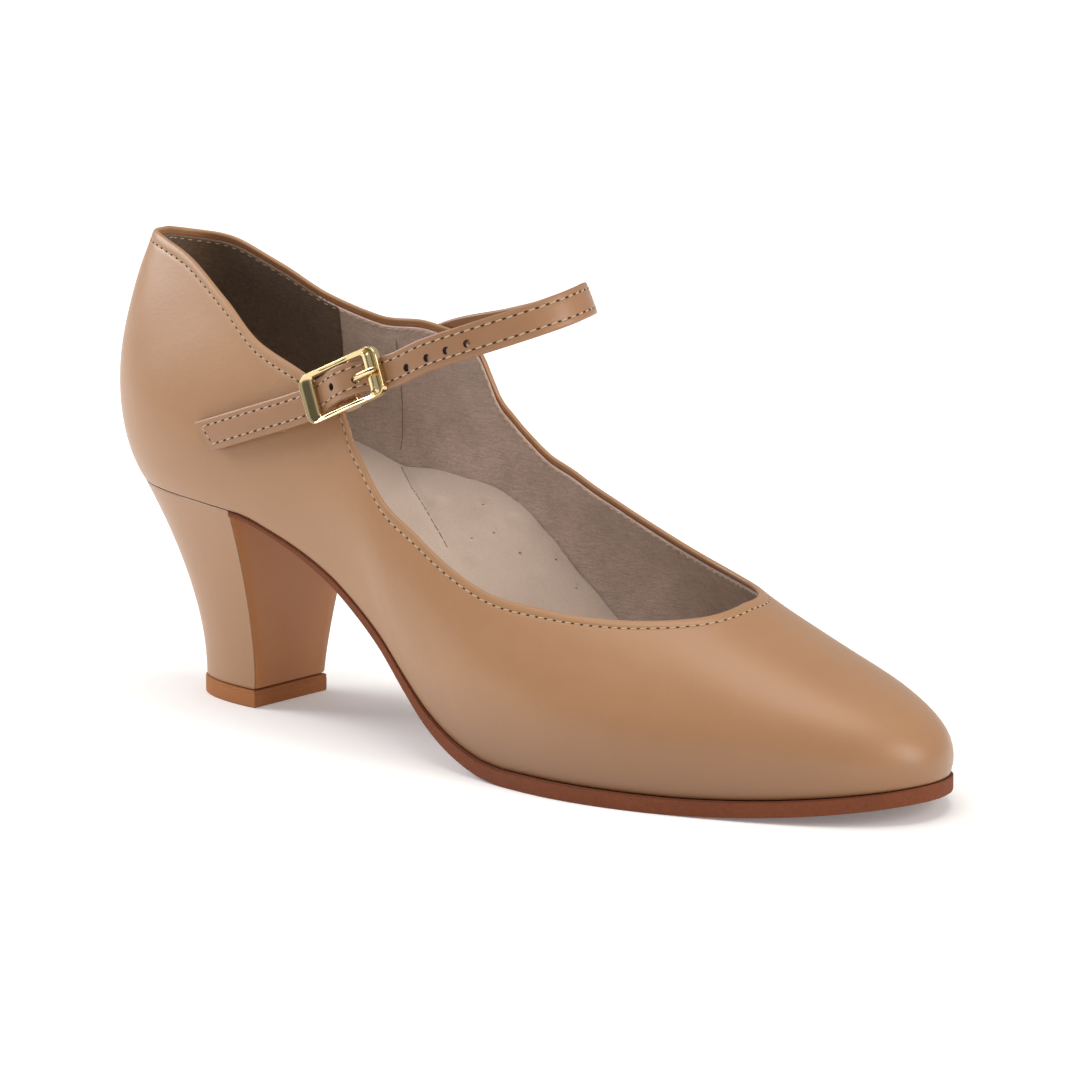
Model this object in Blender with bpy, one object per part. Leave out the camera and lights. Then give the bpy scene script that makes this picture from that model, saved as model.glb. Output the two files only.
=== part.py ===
# A woman's character shoe: the right shoe of a pair, with a covered heel, a bar strap
# and a brass buckle on its outer side. Metres, +Z up, +X from the heel to the toe,
# +Y towards the inner side of the foot, floor at zero.

from math import cos, pi, radians, sin, tan

import bmesh
import bpy
import numpy as np
from mathutils import Matrix, Vector
from mathutils.bvhtree import BVHTree

# Clearance between pieces that touch
gap = 0.0003

# Sizes of the last
feather_length = 0.2335
ball_half_width = 0.037
seat_round = 0.022
toe_round = 0.015
collar_round = 0.0105
throat_round = 0.0070
seat_back = 0.006
seat_rise = 0.0487
counter_rise = 0.0585
toe_swing = 0.006
throat_swing = 0.002
swing_start = 0.3
toe_spring = 0.005
spring_start = 0.76

# Sizes of the bottom
sole_thickness = 0.0038
waist_thickness = 0.0022
sole_margin = 0.0015
waist_margin = 0.0003
toe_margin = 0.0004
waist_start = 0.22
waist_end = 0.50
insole_thickness = 0.0022
arch_start = 0.38
arch_bend = 2.2
insole_start = 0.022
insole_end = 0.980
sole_end = 0.984
wall = 0.0018
edge_crown = 0.25

# Sizes of the heel
lift_height = 0.0042
lift_margin = 0.0004
base_back = 0.0218
base_breast = 0.0455
base_half_width = 0.0125
seat_breast = 0.0495
back_sweep = 2.5
breast_sweep = 1.0
side_sweep = 1.5
base_squareness = 0.85

# Sizes of the strap and its holes
strap_width = 0.0079
strap_thickness = 0.0017
tail_pitch = radians(19.6)
tail_length = 0.0485
tail_slant = 0.0046
tail_settle = 0.0024
strap_crown_forward = 0.0473
strap_crown_rise = 0.0173
crown_fullness = 0.85
crown_lean = radians(27)
root_pitch = radians(22.8)
root_reach = 0.0340
root_back = 0.0175
root_side = 0.0240
root_rise = 0.0012
root_flatness = 1.5
root_clearance = 0.0006
hole_diameter = 0.0019

# Sizes of the buckle, whose middle lies at a point of the lateral side
buckle_forward = 0.0908
buckle_height = 0.0870
buckle_pitch = radians(26)
buckle_turn = 0.075
buckle_tip = 0.12
buckle_touch = 0.40
buckle_sag = 0.2
frame_length = 0.0250
frame_rail = 0.0012
side_play = 0.0009
frame_rear_bar = 0.0037
frame_front_bar = 0.0042
frame_depth = 0.0016
frame_corner = 0.0026
opening_corner = 0.0010
frame_crest = 0.55
frame_ease = 0.35
belly_start = 0.0012
belly_end = 0.0042
frame_dish = 0.0007
centre_bar_diameter = 0.0019
prong_thickness = 0.0010
prong_width = 0.0015
chape_thickness = 0.0010
chape_width = 0.0062
chape_length = 0.0250
strap_lift = 0.0007
strap_chamfer = 0.0003
prong_chamfer = 0.00025
prong_crossing = 0.0036
prong_slot = 0.0040


def table(names, *rows):
    columns = [np.array(column, dtype=float) for column in zip(*rows)]
    return dict(zip(names.split(), columns))


# Half widths of the feather line, as shares of the ball's half width
outline = table(
    "along lateral medial",
    (0.10, 0.62, 0.62),
    (0.20, 0.70, 0.63),
    (0.32, 0.72, 0.56),
    (0.45, 0.80, 0.50),
    (0.57, 0.93, 0.65),
    (0.66, 1.00, 0.89),
    (0.74, 0.96, 0.98),
    (0.83, 0.81, 0.90),
    (0.92, 0.58, 0.65),
)

# Height of the sole's upper face, as shares of the seat's rise
bottom_line = table(
    "along rise",
    (0.00, 1.000),
    (0.10, 0.990),
    (0.20, 0.965),
    (0.25, 0.905),
    (0.29, 0.838),
    (0.33, 0.750),
    (0.36, 0.660),
    (0.40, 0.515),
    (0.44, 0.326),
    (0.47, 0.198),
    (0.50, 0.108),
    (0.53, 0.048),
    (0.56, 0.012),
    (0.59, 0.000),
    (1.00, 0.000),
)

# The smooth rim a little above the topline: forward as shares of the feather length,
# half widths as shares of the ball's half width, heights as shares of the counter's rise
rim_line = table(
    "along forward lateral medial lateral_height medial_height",
    (0.00, 0.004, 0.00, 0.00, 1.930, 1.930),
    (0.06, 0.054, 0.32, 0.32, 1.900, 1.890),
    (0.19, 0.188, 0.54, 0.54, 1.690, 1.670),
    (0.33, 0.325, 0.66, 0.66, 1.470, 1.560),
    (0.41, 0.368, 0.70, 0.68, 1.355, 1.470),
    (0.49, 0.416, 0.75, 0.71, 1.170, 1.290),
    (0.57, 0.478, 0.79, 0.72, 1.000, 1.100),
    (0.65, 0.546, 0.78, 0.70, 0.865, 0.975),
    (0.79, 0.645, 0.64, 0.60, 0.775, 0.850),
    (0.91, 0.716, 0.43, 0.41, 0.768, 0.798),
    (1.00, 0.760, 0.00, 0.00, 0.785, 0.785),
)

# Slopes of the upper's wall in degrees and reaches of its bend as shares of the row
wall_slope = table(
    "along lateral_lean medial_lean lateral_fall medial_fall foot_reach rim_reach",
    (0.00, 33, 33, 67, 67, 0.34, 0.36),
    (0.10, 28, 30, 71, 71, 0.34, 0.36),
    (0.25, 18, 32, 76, 78, 0.34, 0.36),
    (0.42, 14, 42, 72, 76, 0.34, 0.36),
    (0.58, 14, 30, 62, 66, 0.32, 0.40),
    (0.72, 15, 16, 48, 54, 0.30, 0.42),
    (0.86, 18, 16, 37, 44, 0.28, 0.40),
    (1.00, 22, 22, 29, 29, 0.28, 0.40),
)

# The topline, as shares of each row from the feather line to the rim
lateral_topline = table(
    "along share",
    (0.00, 0.978),
    (0.02, 0.985),
    (0.05, 0.988),
    (0.10, 1.000),
    (0.16, 0.975),
    (0.215, 0.918),
    (0.28, 0.940),
    (0.315, 0.945),
    (0.342, 0.955),
    (0.357, 0.925),
    (0.382, 0.862),
    (0.45, 0.870),
    (0.54, 0.910),
    (0.63, 0.903),
    (0.73, 0.922),
    (0.84, 0.918),
    (0.95, 0.925),
    (1.00, 0.957),
)
medial_topline = table(
    "along share",
    (0.00, 0.978),
    (0.02, 0.945),
    (0.07, 0.962),
    (0.11, 0.960),
    (0.155, 0.931),
    (0.21, 0.925),
    (0.27, 0.980),
    (0.33, 0.985),
    (0.345, 0.962),
    (0.354, 0.890),
    (0.362, 0.805),
    (0.375, 0.772),
    (0.40, 0.774),
    (0.44, 0.808),
    (0.53, 0.900),
    (0.60, 0.922),
    (0.73, 0.916),
    (0.85, 0.930),
    (0.95, 0.960),
    (1.00, 0.957),
)


# Sideways shift of the strap along the frame, as shares of its half length
sway = table(
    "share offset",
    (-1.0, 0.0002),
    (-0.75, -0.0002),
    (-0.4, -0.0006),
    (0.4, -0.0006),
    (0.75, 0.0002),
    (1.0, 0.0009),
)

# The strap's holes: distances in front of the centre bar, and down from the strap's
# middle; the prong is in the second
holes = table(
    "forward down",
    (-0.0026, 0.0000),
    (0.0040, 0.0000),
    (0.0124, 0.0008),
    (0.0203, 0.0010),
    (0.0261, 0.0009),
    (0.0320, 0.0007),
    (0.0380, 0.0006),
)

# How far the insole's medial edge climbs, as shares of each row of the wall
arch_edge = table(
    "along share",
    (0.00, 0.090),
    (0.10, 0.130),
    (0.16, 0.190),
    (0.23, 0.160),
    (0.29, 0.245),
    (0.34, 0.305),
    (0.38, 0.370),
    (0.43, 0.415),
    (0.48, 0.475),
    (0.515, 0.470),
    (0.55, 0.400),
    (0.60, 0.270),
    (0.66, 0.150),
    (0.74, 0.090),
    (1.00, 0.090),
)


def station(along):
    return np.arccos(1 - 2 * np.asarray(along, dtype=float)) / pi


def along_of(t):
    return (1 - np.cos(pi * t)) / 2


def loop_spline(stations, lateral, medial):
    # A smooth closed curve of values: out along the lateral side from the back (0) to the
    # toe (1), and home along the medial side (2)
    knots = np.concatenate([stations, 2 - stations[-2:0:-1]])
    values = np.concatenate([lateral, medial[-2:0:-1]])
    count = len(knots)
    step = np.diff(np.append(knots, 2.0))
    slope = (np.roll(values, -1) - values) / step
    system = np.zeros((count, count))
    for i in range(count):
        system[i, i - 1] += step[i - 1]
        system[i, i] += 2 * (step[i - 1] + step[i])
        system[i, (i + 1) % count] += step[i]
    bend = np.linalg.solve(system, 6 * (slope - np.roll(slope, 1)))

    def value_at(w):
        w = np.mod(w, 2)
        i = np.clip(np.searchsorted(knots, w, side="right") - 1, 0, count - 1)
        after = (i + 1) % count
        far = (w - knots[i]) / step[i]
        near = 1 - far
        curve = (near**3 - near) * bend[i] + (far**3 - far) * bend[after]
        return near * values[i] + far * values[after] + step[i] ** 2 / 6 * curve

    return value_at


def steady_line(stations, values):
    # A curve through its points that never overshoots them
    step = np.diff(stations)
    slope = np.diff(values) / step
    tangent = np.zeros(len(values))
    for i in range(1, len(values) - 1):
        if slope[i - 1] * slope[i] > 0:
            early = 2 * step[i] + step[i - 1]
            late = step[i] + 2 * step[i - 1]
            tangent[i] = (early + late) / (early / slope[i - 1] + late / slope[i])
    tangent[0] = slope[0]
    tangent[-1] = slope[-1]

    def value_at(s):
        s = np.clip(s, stations[0], stations[-1])
        i = np.clip(np.searchsorted(stations, s, side="right") - 1, 0, len(step) - 1)
        h = step[i]
        u = (s - stations[i]) / h
        rise = u * u * (3 - 2 * u)
        return (
            values[i] * (1 - rise)
            + values[i + 1] * rise
            + h * tangent[i] * u * (1 - u) ** 2
            - h * tangent[i + 1] * u * u * (1 - u)
        )

    return value_at


def smooth_step(value, start, end):
    u = np.clip((value - start) / (end - start), 0, 1)
    return u * u * (3 - 2 * u)


def fullness_spline(rows, back_round, front_round):
    # Half widths divided by the round-ended curve that they ride on
    inner = station(rows["along"])
    round_ends = np.sin(pi * inner)
    back = (back_round * feather_length / 2) ** 0.5
    front = (front_round * feather_length / 2) ** 0.5
    stations = np.concatenate([[0], inner, [1]])
    lateral = np.concatenate([[back], rows["lateral"] * ball_half_width / round_ends, [front]])
    medial = np.concatenate([[back], rows["medial"] * ball_half_width / round_ends, [front]])
    return loop_spline(stations, lateral, medial)


def inner_rows(rows):
    return {name: column[1:-1] for name, column in rows.items()}


rise_at = steady_line(bottom_line["along"], bottom_line["rise"])
feather_fullness = fullness_spline(outline, seat_round, toe_round)
rim_fullness = fullness_spline(inner_rows(rim_line), collar_round, throat_round)
rim_stations = station(rim_line["along"])
rim_forward = loop_spline(rim_stations, rim_line["forward"], rim_line["forward"])
rim_height = loop_spline(rim_stations, rim_line["lateral_height"], rim_line["medial_height"])
slope_stations = station(wall_slope["along"])
foot_lean = loop_spline(slope_stations, wall_slope["lateral_lean"], wall_slope["medial_lean"])
rim_fall = loop_spline(slope_stations, wall_slope["lateral_fall"], wall_slope["medial_fall"])
foot_reach = loop_spline(slope_stations, wall_slope["foot_reach"], wall_slope["foot_reach"])
rim_reach = loop_spline(slope_stations, wall_slope["rim_reach"], wall_slope["rim_reach"])
lateral_share = steady_line(station(lateral_topline["along"]), lateral_topline["share"])
medial_share = steady_line(station(medial_topline["along"]), medial_topline["share"])
arch_share = steady_line(station(arch_edge["along"]), arch_edge["share"])


def out_station(w):
    # The station along the shoe, whichever side the loop is on
    w = np.mod(w, 2)
    return np.where(w <= 1, w, 2 - w)


def side_of(w):
    return np.where(np.mod(w, 2) <= 1, -1.0, 1.0)


def seat_height(x):
    # Height of the sole's upper face, with the arch and the toe spring
    along = np.clip((x - seat_back) / feather_length, 0, 1)
    spring = toe_spring * (np.clip(along - spring_start, 0, 1) / (1 - spring_start)) ** 2
    return sole_thickness + seat_rise * rise_at(along) + spring


def swing(along, amount):
    return amount * smooth_step(along, swing_start, 1.0)


def feather(w):
    t = out_station(w)
    along = along_of(t)
    x = seat_back + feather_length * along
    y = swing(along, toe_swing) + side_of(w) * np.sin(pi * t) * feather_fullness(w)
    return np.stack([x, y, seat_height(x)], axis=-1)


def rim(w):
    t = out_station(w)
    along = along_of(t)
    x = seat_back + feather_length * rim_forward(w)
    y = swing(along, throat_swing) + side_of(w) * np.sin(pi * t) * rim_fullness(w)
    z = counter_rise * rim_height(w)
    return np.stack([x, y, z], axis=-1)


def unit(vectors):
    return vectors / np.linalg.norm(vectors, axis=-1, keepdims=True)


def dot(one, other):
    return np.sum(one * other, axis=-1, keepdims=True)


def tangent_and_outward(curve, w):
    # Direction of travel along a loop, and the level direction out of the shoe
    nudge = 0.002
    tangent = unit(curve(w + nudge) - curve(w - nudge))
    outward = np.stack([tangent[..., 1], -tangent[..., 0], np.zeros_like(w)], axis=-1)
    return tangent, unit(outward)


def wall_surface(w, v):
    # The outer face of the upper: v runs from the feather line (0) up to the rim (1)
    up = np.array([0.0, 0.0, 1.0])
    low = feather(w)
    high = rim(w)
    chord = high - low
    span = np.linalg.norm(chord, axis=-1, keepdims=True)
    low_along, low_out = tangent_and_outward(feather, w)
    high_along, high_out = tangent_and_outward(rim, w)
    lean = np.radians(foot_lean(w))[..., None]
    fall = np.radians(rim_fall(w))[..., None]
    rise = foot_reach(w)[..., None] * span * (low_out * np.sin(lean) + up * np.cos(lean))
    drop = rim_reach(w)[..., None] * span * (high_out * np.cos(fall) - up * np.sin(fall))
    first = low + low_along * dot(chord, low_along) / 3 + rise
    second = high - high_along * dot(chord, high_along) / 3 + drop
    v = np.asarray(v)[..., None]
    u = 1 - v
    return u**3 * low + 3 * u * u * v * first + 3 * u * v * v * second + v**3 * high


def wall_normal(w, v):
    nudge = 0.001
    along = wall_surface(w + nudge, v) - wall_surface(w - nudge, v)
    upward = wall_surface(w, v + nudge) - wall_surface(w, v - nudge)
    return unit(np.cross(along, upward))


def topline_share(w):
    t = out_station(w)
    return np.where(side_of(w) < 0, lateral_share(t), medial_share(t))


def loop_stations():
    # Rows round the upper, closer together where the topline turns at the strap
    lateral = np.concatenate(
        [np.linspace(0, 0.37, 19)[:-1], np.linspace(0.37, 0.45, 15)[:-1], np.linspace(0.45, 1, 26)]
    )
    return np.concatenate([lateral, 2 - lateral[-2:0:-1]])


def add_object(name, mesh, material):
    mesh.materials.append(material)
    mesh.shade_smooth()
    mesh.set_sharp_from_angle(angle=radians(38))
    item = bpy.data.objects.new(name, mesh)
    bpy.context.scene.collection.objects.link(item)
    return item


def mesh_from(name, points, faces):
    mesh = bpy.data.meshes.new(name)
    mesh.from_pydata([tuple(point) for point in points], [], faces)
    shape = bmesh.new()
    shape.from_mesh(mesh)
    bmesh.ops.recalc_face_normals(shape, faces=shape.faces)
    if shape.calc_volume(signed=True) < 0:
        bmesh.ops.reverse_faces(shape, faces=shape.faces)
    shape.to_mesh(mesh)
    shape.free()
    return mesh


def skin(name, sections, closed):
    # Joins sections of equal point counts, into a ring or into a capped bar
    count = len(sections)
    size = len(sections[0])
    points = np.concatenate(sections)
    faces = []
    for i in range(count if closed else count - 1):
        near = i * size
        far = (i + 1) % count * size
        for j in range(size):
            k = (j + 1) % size
            faces.append((near + j, near + k, far + k, far + j))
    if not closed:
        faces.append(tuple(range(size)))
        faces.append(tuple(range((count - 1) * size, count * size)))
    return mesh_from(name, points, faces)


def material(name, colour, roughness, metallic=0.0):
    finish = bpy.data.materials.new(name)
    finish.use_nodes = True
    surface = finish.node_tree.nodes["Principled BSDF"]
    surface.inputs["Base Color"].default_value = (*colour, 1.0)
    surface.inputs["Roughness"].default_value = roughness
    surface.inputs["Metallic"].default_value = metallic
    return finish


def make_upper():
    # One hollow wall from the feather line to the topline, open above and below
    w = loop_stations()
    share = topline_share(w)
    levels = [0, 0.08, 0.18, 0.30, 0.42, 0.54, 0.66, 0.78, 0.89, 1.0]
    outer = []
    inner = []
    for level in levels:
        v = share * level
        face = wall_surface(w, v)
        normal = wall_normal(w, np.maximum(v, 0.001))
        if level == 0:
            normal = tangent_and_outward(feather, w)[1]
        lining = face - normal * wall
        if level == 0:
            face[:, 2] = seat_height(face[:, 0]) + gap
            lining[:, 2] = seat_height(lining[:, 0]) + gap
        outer.append(face)
        inner.append(lining)
    edge_rise = unit(outer[-1] - outer[-2]) * wall * edge_crown
    edge = (outer[-1] + inner[-1]) / 2 + edge_rise
    rings = outer + [edge] + inner[::-1]
    sections = [np.array([ring[i] for ring in rings]) for i in range(len(w))]
    return skin("upper", sections, closed=True)


def outer_face_tree():
    # The whole outer face up to the rim, for pieces that lie on it
    w = loop_stations()
    levels = np.linspace(0, 1, 15)
    grid = np.stack([wall_surface(w, np.full_like(w, level)) for level in levels], axis=1)
    rows, columns = grid.shape[:2]
    faces = []
    for i in range(rows):
        k = (i + 1) % rows
        for j in range(columns - 1):
            faces.append((i * columns + j, k * columns + j, k * columns + j + 1, i * columns + j + 1))
    points = [Vector(point) for point in grid.reshape(-1, 3)]
    return BVHTree.FromPolygons(points, faces)


def across_slab(name, lateral, medial, top_of, bottom_of, columns):
    # A plate between two plan curves, whose faces follow heights along the shoe
    sections = []
    for near, far in zip(lateral, medial):
        share = np.linspace(0, 1, columns)[:, None]
        line = near * (1 - share) + far * share
        top = np.column_stack([line, top_of(line[:, 0])])
        base = np.column_stack([line, bottom_of(line[:, 0])])
        sections.append(np.concatenate([top, base[::-1]]))
    return skin(name, sections, closed=False)


def edge_curves(t, offset):
    # Both plan edges of a bottom piece, moved out of the feather line by an offset
    sides = []
    for w in (t, 2 - t):
        outward = tangent_and_outward(feather, w)[1]
        sides.append((feather(w) + outward * offset)[:, :2])
    return sides


def inner_wall(w, v):
    # The lining's face, a wall inside the outer face
    return wall_surface(w, v) - wall_normal(w, np.maximum(v, 0.001)) * wall


def make_insole():
    # A plate between the feather lines whose medial edge climbs the wall under the arch
    t = np.linspace(insole_start, insole_end, 44)
    lateral, medial = edge_curves(t, -np.full((len(t), 1), wall + gap))
    climb = arch_share(t)
    crest = inner_wall(2 - t, climb) - tangent_and_outward(feather, 2 - t)[1] * 2 * gap
    share = np.linspace(0, 1, 10)[:, None]
    bend = np.clip((share - arch_start) / (1 - arch_start), 0, 1) ** arch_bend
    sections = []
    for i in range(len(t)):
        line = lateral[i] * (1 - share) + medial[i] * share
        base = np.column_stack([line, seat_height(line[:, 0]) + gap])
        top = base + np.array([0, 0, insole_thickness])
        if crest[i][2] > top[-1][2]:
            top = top + (crest[i] - top[-1]) * bend
        sections.append(np.concatenate([top, base[::-1]]))
    return skin("insole", sections, closed=False)


def sole_depth(x):
    along = (x - seat_back) / feather_length
    return waist_thickness + (sole_thickness - waist_thickness) * smooth_step(along, waist_start, waist_end)


def make_outsole():
    start = station((seat_breast + gap - seat_back) / feather_length)
    t = np.concatenate([[start], np.linspace(start + 0.012, sole_end, 40)])
    ball_start, ball_end, toe_start = 0.42, 0.60, 0.78
    margin = waist_margin + (sole_margin - waist_margin) * smooth_step(t, ball_start, ball_end)
    margin = margin + (toe_margin - sole_margin) * smooth_step(t, toe_start, 1.0)
    lateral, medial = edge_curves(t, margin[:, None])
    lateral[0][0] = seat_breast + gap
    medial[0][0] = seat_breast + gap
    return across_slab(
        "outsole", lateral, medial, seat_height, lambda x: seat_height(x) - sole_depth(x), 7
    )


def heel_arc(turn, level):
    # Plan point of the heel's curved side: turn runs from the back (0) to the breast (1),
    # level from the base (0) to the seat (1)
    breast_station = station((seat_breast - seat_back) / feather_length)
    w = np.where(turn < 0, np.abs(turn) * breast_station, 2 - np.abs(turn) * breast_station)
    seat = feather(w)
    share = np.abs(turn)
    base_x = base_back + (base_breast - base_back) * (1 - np.cos(pi / 2 * share))
    base_y = np.sign(turn) * base_half_width * np.sin(pi / 2 * share) ** base_squareness
    sweep = back_sweep * (1 - share) + breast_sweep * share
    x = base_x + (seat[:, 0] - base_x) * level**sweep
    y = base_y + (seat[:, 1] - base_y) * level**side_sweep
    return x, y, seat[:, 0]


def heel_section(level, low, arc_points=25, breast_points=5):
    turn = np.linspace(-1, 1, arc_points)
    x, y, seat_x = heel_arc(turn, level)
    top = seat_height(seat_x)
    z = low + (top - low) * level
    arc = np.column_stack([x, y, z])
    share = np.linspace(0, 1, breast_points + 2)[1:-1, None]
    breast = arc[-1] * (1 - share) + arc[0] * share
    return np.concatenate([arc, breast])


def make_heel():
    low = lift_height + gap
    levels = [0, 0.07, 0.15, 0.25, 0.36, 0.48, 0.60, 0.72, 0.83, 0.92, 1.0]
    return skin("heel", [heel_section(level, low) for level in levels], closed=False)


def make_top_lift():
    section = heel_section(0.0, lift_height)
    centre = np.array([(base_back + base_breast) / 2, 0, 0])
    reach = section - centre
    grown = centre + reach * (1 + lift_margin / base_half_width) * np.array([1, 1, 0])
    low = grown.copy()
    low[:, 2] = 0
    high = grown.copy()
    high[:, 2] = lift_height
    return skin("top_lift", [low, high], closed=False)


def quarter_point(tree, x, z, side):
    # The point of the upper's outer face level with a point beside it
    start = Vector((x, side * 2 * ball_half_width, z))
    hit = tree.ray_cast(start, Vector((0, -side, 0)))[0]
    return hit if hit else tree.find_nearest(start)[0]


def buckle_axes(tree):
    # Origin on the lateral quarter's tangent plane, then the directions along the strap
    # towards the toe, down across it and out of the shoe
    back_step = buckle_touch * frame_length
    seat_x = buckle_forward - back_step
    seat_z = buckle_height - back_step * tan(buckle_pitch) - buckle_sag * strap_width
    seat = quarter_point(tree, seat_x, seat_z, -1)
    along = Vector((cos(buckle_pitch), buckle_turn, sin(buckle_pitch))).normalized()
    down = Vector((sin(buckle_pitch), -buckle_tip, -cos(buckle_pitch)))
    down = (down - along * down.dot(along)).normalized()
    out = along.cross(down).normalized()
    if out.y > 0:
        out = -out
    origin = Vector((buckle_forward, 0, buckle_height))
    depth = (seat - origin).dot(out) / out.y
    return origin + Vector((0, depth, 0)), along, down, out


bar_radius = centre_bar_diameter / 2
loop_radius = bar_radius + gap + chape_thickness
bar_height = loop_radius + gap
chape_top = gap + 2 * chape_thickness
rest_height = chape_top + strap_lift + strap_thickness / 2
crest_height = bar_height + loop_radius + 2 * gap + strap_thickness / 2
frame_under = rest_height + strap_thickness / 2 + gap
frame_top = frame_under + frame_depth
prong_height = frame_top + gap + prong_thickness / 2
opening_width = strap_width + 2 * side_play
opening_rear = -frame_length / 2 + frame_rear_bar
opening_front = frame_length / 2 - frame_front_bar
strap_sway = steady_line(sway["share"], sway["offset"])


def strap_height(distance):
    # Height of the strap's middle over the quarter, over the centre bar and under the ends
    wave = smooth_step(np.abs(distance), 0.0, -opening_rear)
    return crest_height + (rest_height - crest_height) * wave


def hermite_path(points, spacing):
    # A smooth path through points, sampled evenly
    points = np.array(points)
    knots = np.concatenate([[0], np.cumsum(np.linalg.norm(np.diff(points[:, :3], axis=0), axis=1))])
    step = np.diff(knots)
    slope = np.diff(points, axis=0) / step[:, None]
    tangent = np.zeros_like(points)
    weight = (step[1:] / (step[1:] + step[:-1]))[:, None]
    tangent[1:-1] = slope[:-1] * weight + slope[1:] * (1 - weight)
    tangent[0] = 2 * slope[0] - tangent[1]
    tangent[-1] = 2 * slope[-1] - tangent[-2]
    count = int(round(knots[-1] / spacing))
    s = np.linspace(0, knots[-1], count + 1)
    i = np.clip(np.searchsorted(knots, s, side="right") - 1, 0, len(step) - 1)
    h = step[i][:, None]
    u = ((s - knots[i]) / step[i])[:, None]
    rise = u * u * (3 - 2 * u)
    return s, (
        points[i] * (1 - rise)
        + points[i + 1] * rise
        + h * tangent[i] * u * (1 - u) ** 2
        - h * tangent[i + 1] * u * u * (1 - u)
    )


def strap_rows(tree, origin, along, down, out):
    # Middle of the strap and its direction from the upper to the lower edge, from the tail
    # through the buckle and over the instep to the root on the medial quarter
    rows = []
    half = strap_width / 2
    straight = frame_length / 2 - 2 * gap
    bend = origin - along * straight + down * float(strap_sway(-1))
    for share in (1.0, 0.8, 0.6, 0.4, 0.2):
        travel = (tail_length - straight) * share
        x = bend.x - travel * cos(tail_pitch)
        z = bend.z - travel * sin(tail_pitch)
        face = quarter_point(tree, x, z, -1)
        lower = quarter_point(tree, x + half * sin(tail_pitch), z - half * cos(tail_pitch), -1)
        stand = rest_height - tail_settle * share * share
        hang = (lower - face).normalized() * share + down * (1 - share)
        rows.append((x, face.y - stand, z, *hang))
    for step in range(-4, 5):
        distance = straight * step / 4
        middle = origin + along * distance + out * float(strap_height(distance))
        middle += down * float(strap_sway(step / 4))
        rows.append((*middle, *down))
    start = Vector(rows[-1][:3])
    end = Vector((start.x - root_back, root_side, start.z + root_rise))
    centre = (start + end) / 2
    reach = (start - end) / 2
    crown = Vector((strap_crown_forward, 0, strap_crown_rise))
    root_down = Vector((sin(root_pitch), buckle_tip, -cos(root_pitch)))
    crown_down = Vector((sin(crown_lean), 0, -cos(crown_lean)))
    for degrees in range(15, 180, 15):
        turn = radians(degrees)
        middle = centre + reach * cos(turn) + crown * sin(turn)
        power = crown_fullness if degrees < 90 else root_flatness
        middle.z -= strap_crown_rise * (sin(turn) - sin(turn) ** power)
        side = down if degrees < 90 else root_down
        blend = sin(turn) ** 2
        facing = side * (1 - blend) + crown_down * blend
        rows.append((*middle, *facing.normalized()))
    for share in (0.30, 0.55, 0.78, 1.0):
        x = end.x - root_reach * share * cos(root_pitch)
        z = end.z - root_reach * share * sin(root_pitch)
        face = quarter_point(tree, x, z, 1)
        lower = quarter_point(tree, x + half * sin(root_pitch), z - half * cos(root_pitch), 1)
        rows.append((x, face.y + root_clearance + strap_thickness / 2, z, *(lower - face).normalized()))
    return rows


def strap_frames(tree, axes, spacing):
    distance, rows = hermite_path(strap_rows(tree, *axes), spacing)
    middle = rows[:, :3]
    along = unit(np.gradient(middle, axis=0))
    down = rows[:, 3:]
    down = unit(down - along * dot(down, along))
    return distance, middle, along, down, np.cross(along, down)


def bar_section(width, thickness, chamfer):
    # Outline of a flat bar with eased edges, as pairs across and through
    w = width / 2
    t = thickness / 2
    quarter_outline = [(w - chamfer, t), (w, t - chamfer)]
    outline_points = quarter_outline + [(x, -y) for x, y in quarter_outline[::-1]]
    return outline_points + [(-x, -y) for x, y in outline_points]


def make_strap(tree, axes):
    distance, middle, along, down, out = strap_frames(tree, axes, 0.0024)
    outline_points = bar_section(strap_width, strap_thickness, strap_chamfer)
    sections = []
    for i in range(len(middle)):
        slant = tail_slant / strap_width if i == 0 else 0
        sections.append(
            np.array([middle[i] + down[i] * a + out[i] * b + along[i] * a * slant for a, b in outline_points])
        )
    return skin("strap", sections, closed=False)


def buckle_place(axes):
    # Turns distances along, across and out into a point beside the shoe
    origin, along, down, out = axes

    def place(a, w, n):
        return origin + along * a + down * w + out * n

    return place


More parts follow.
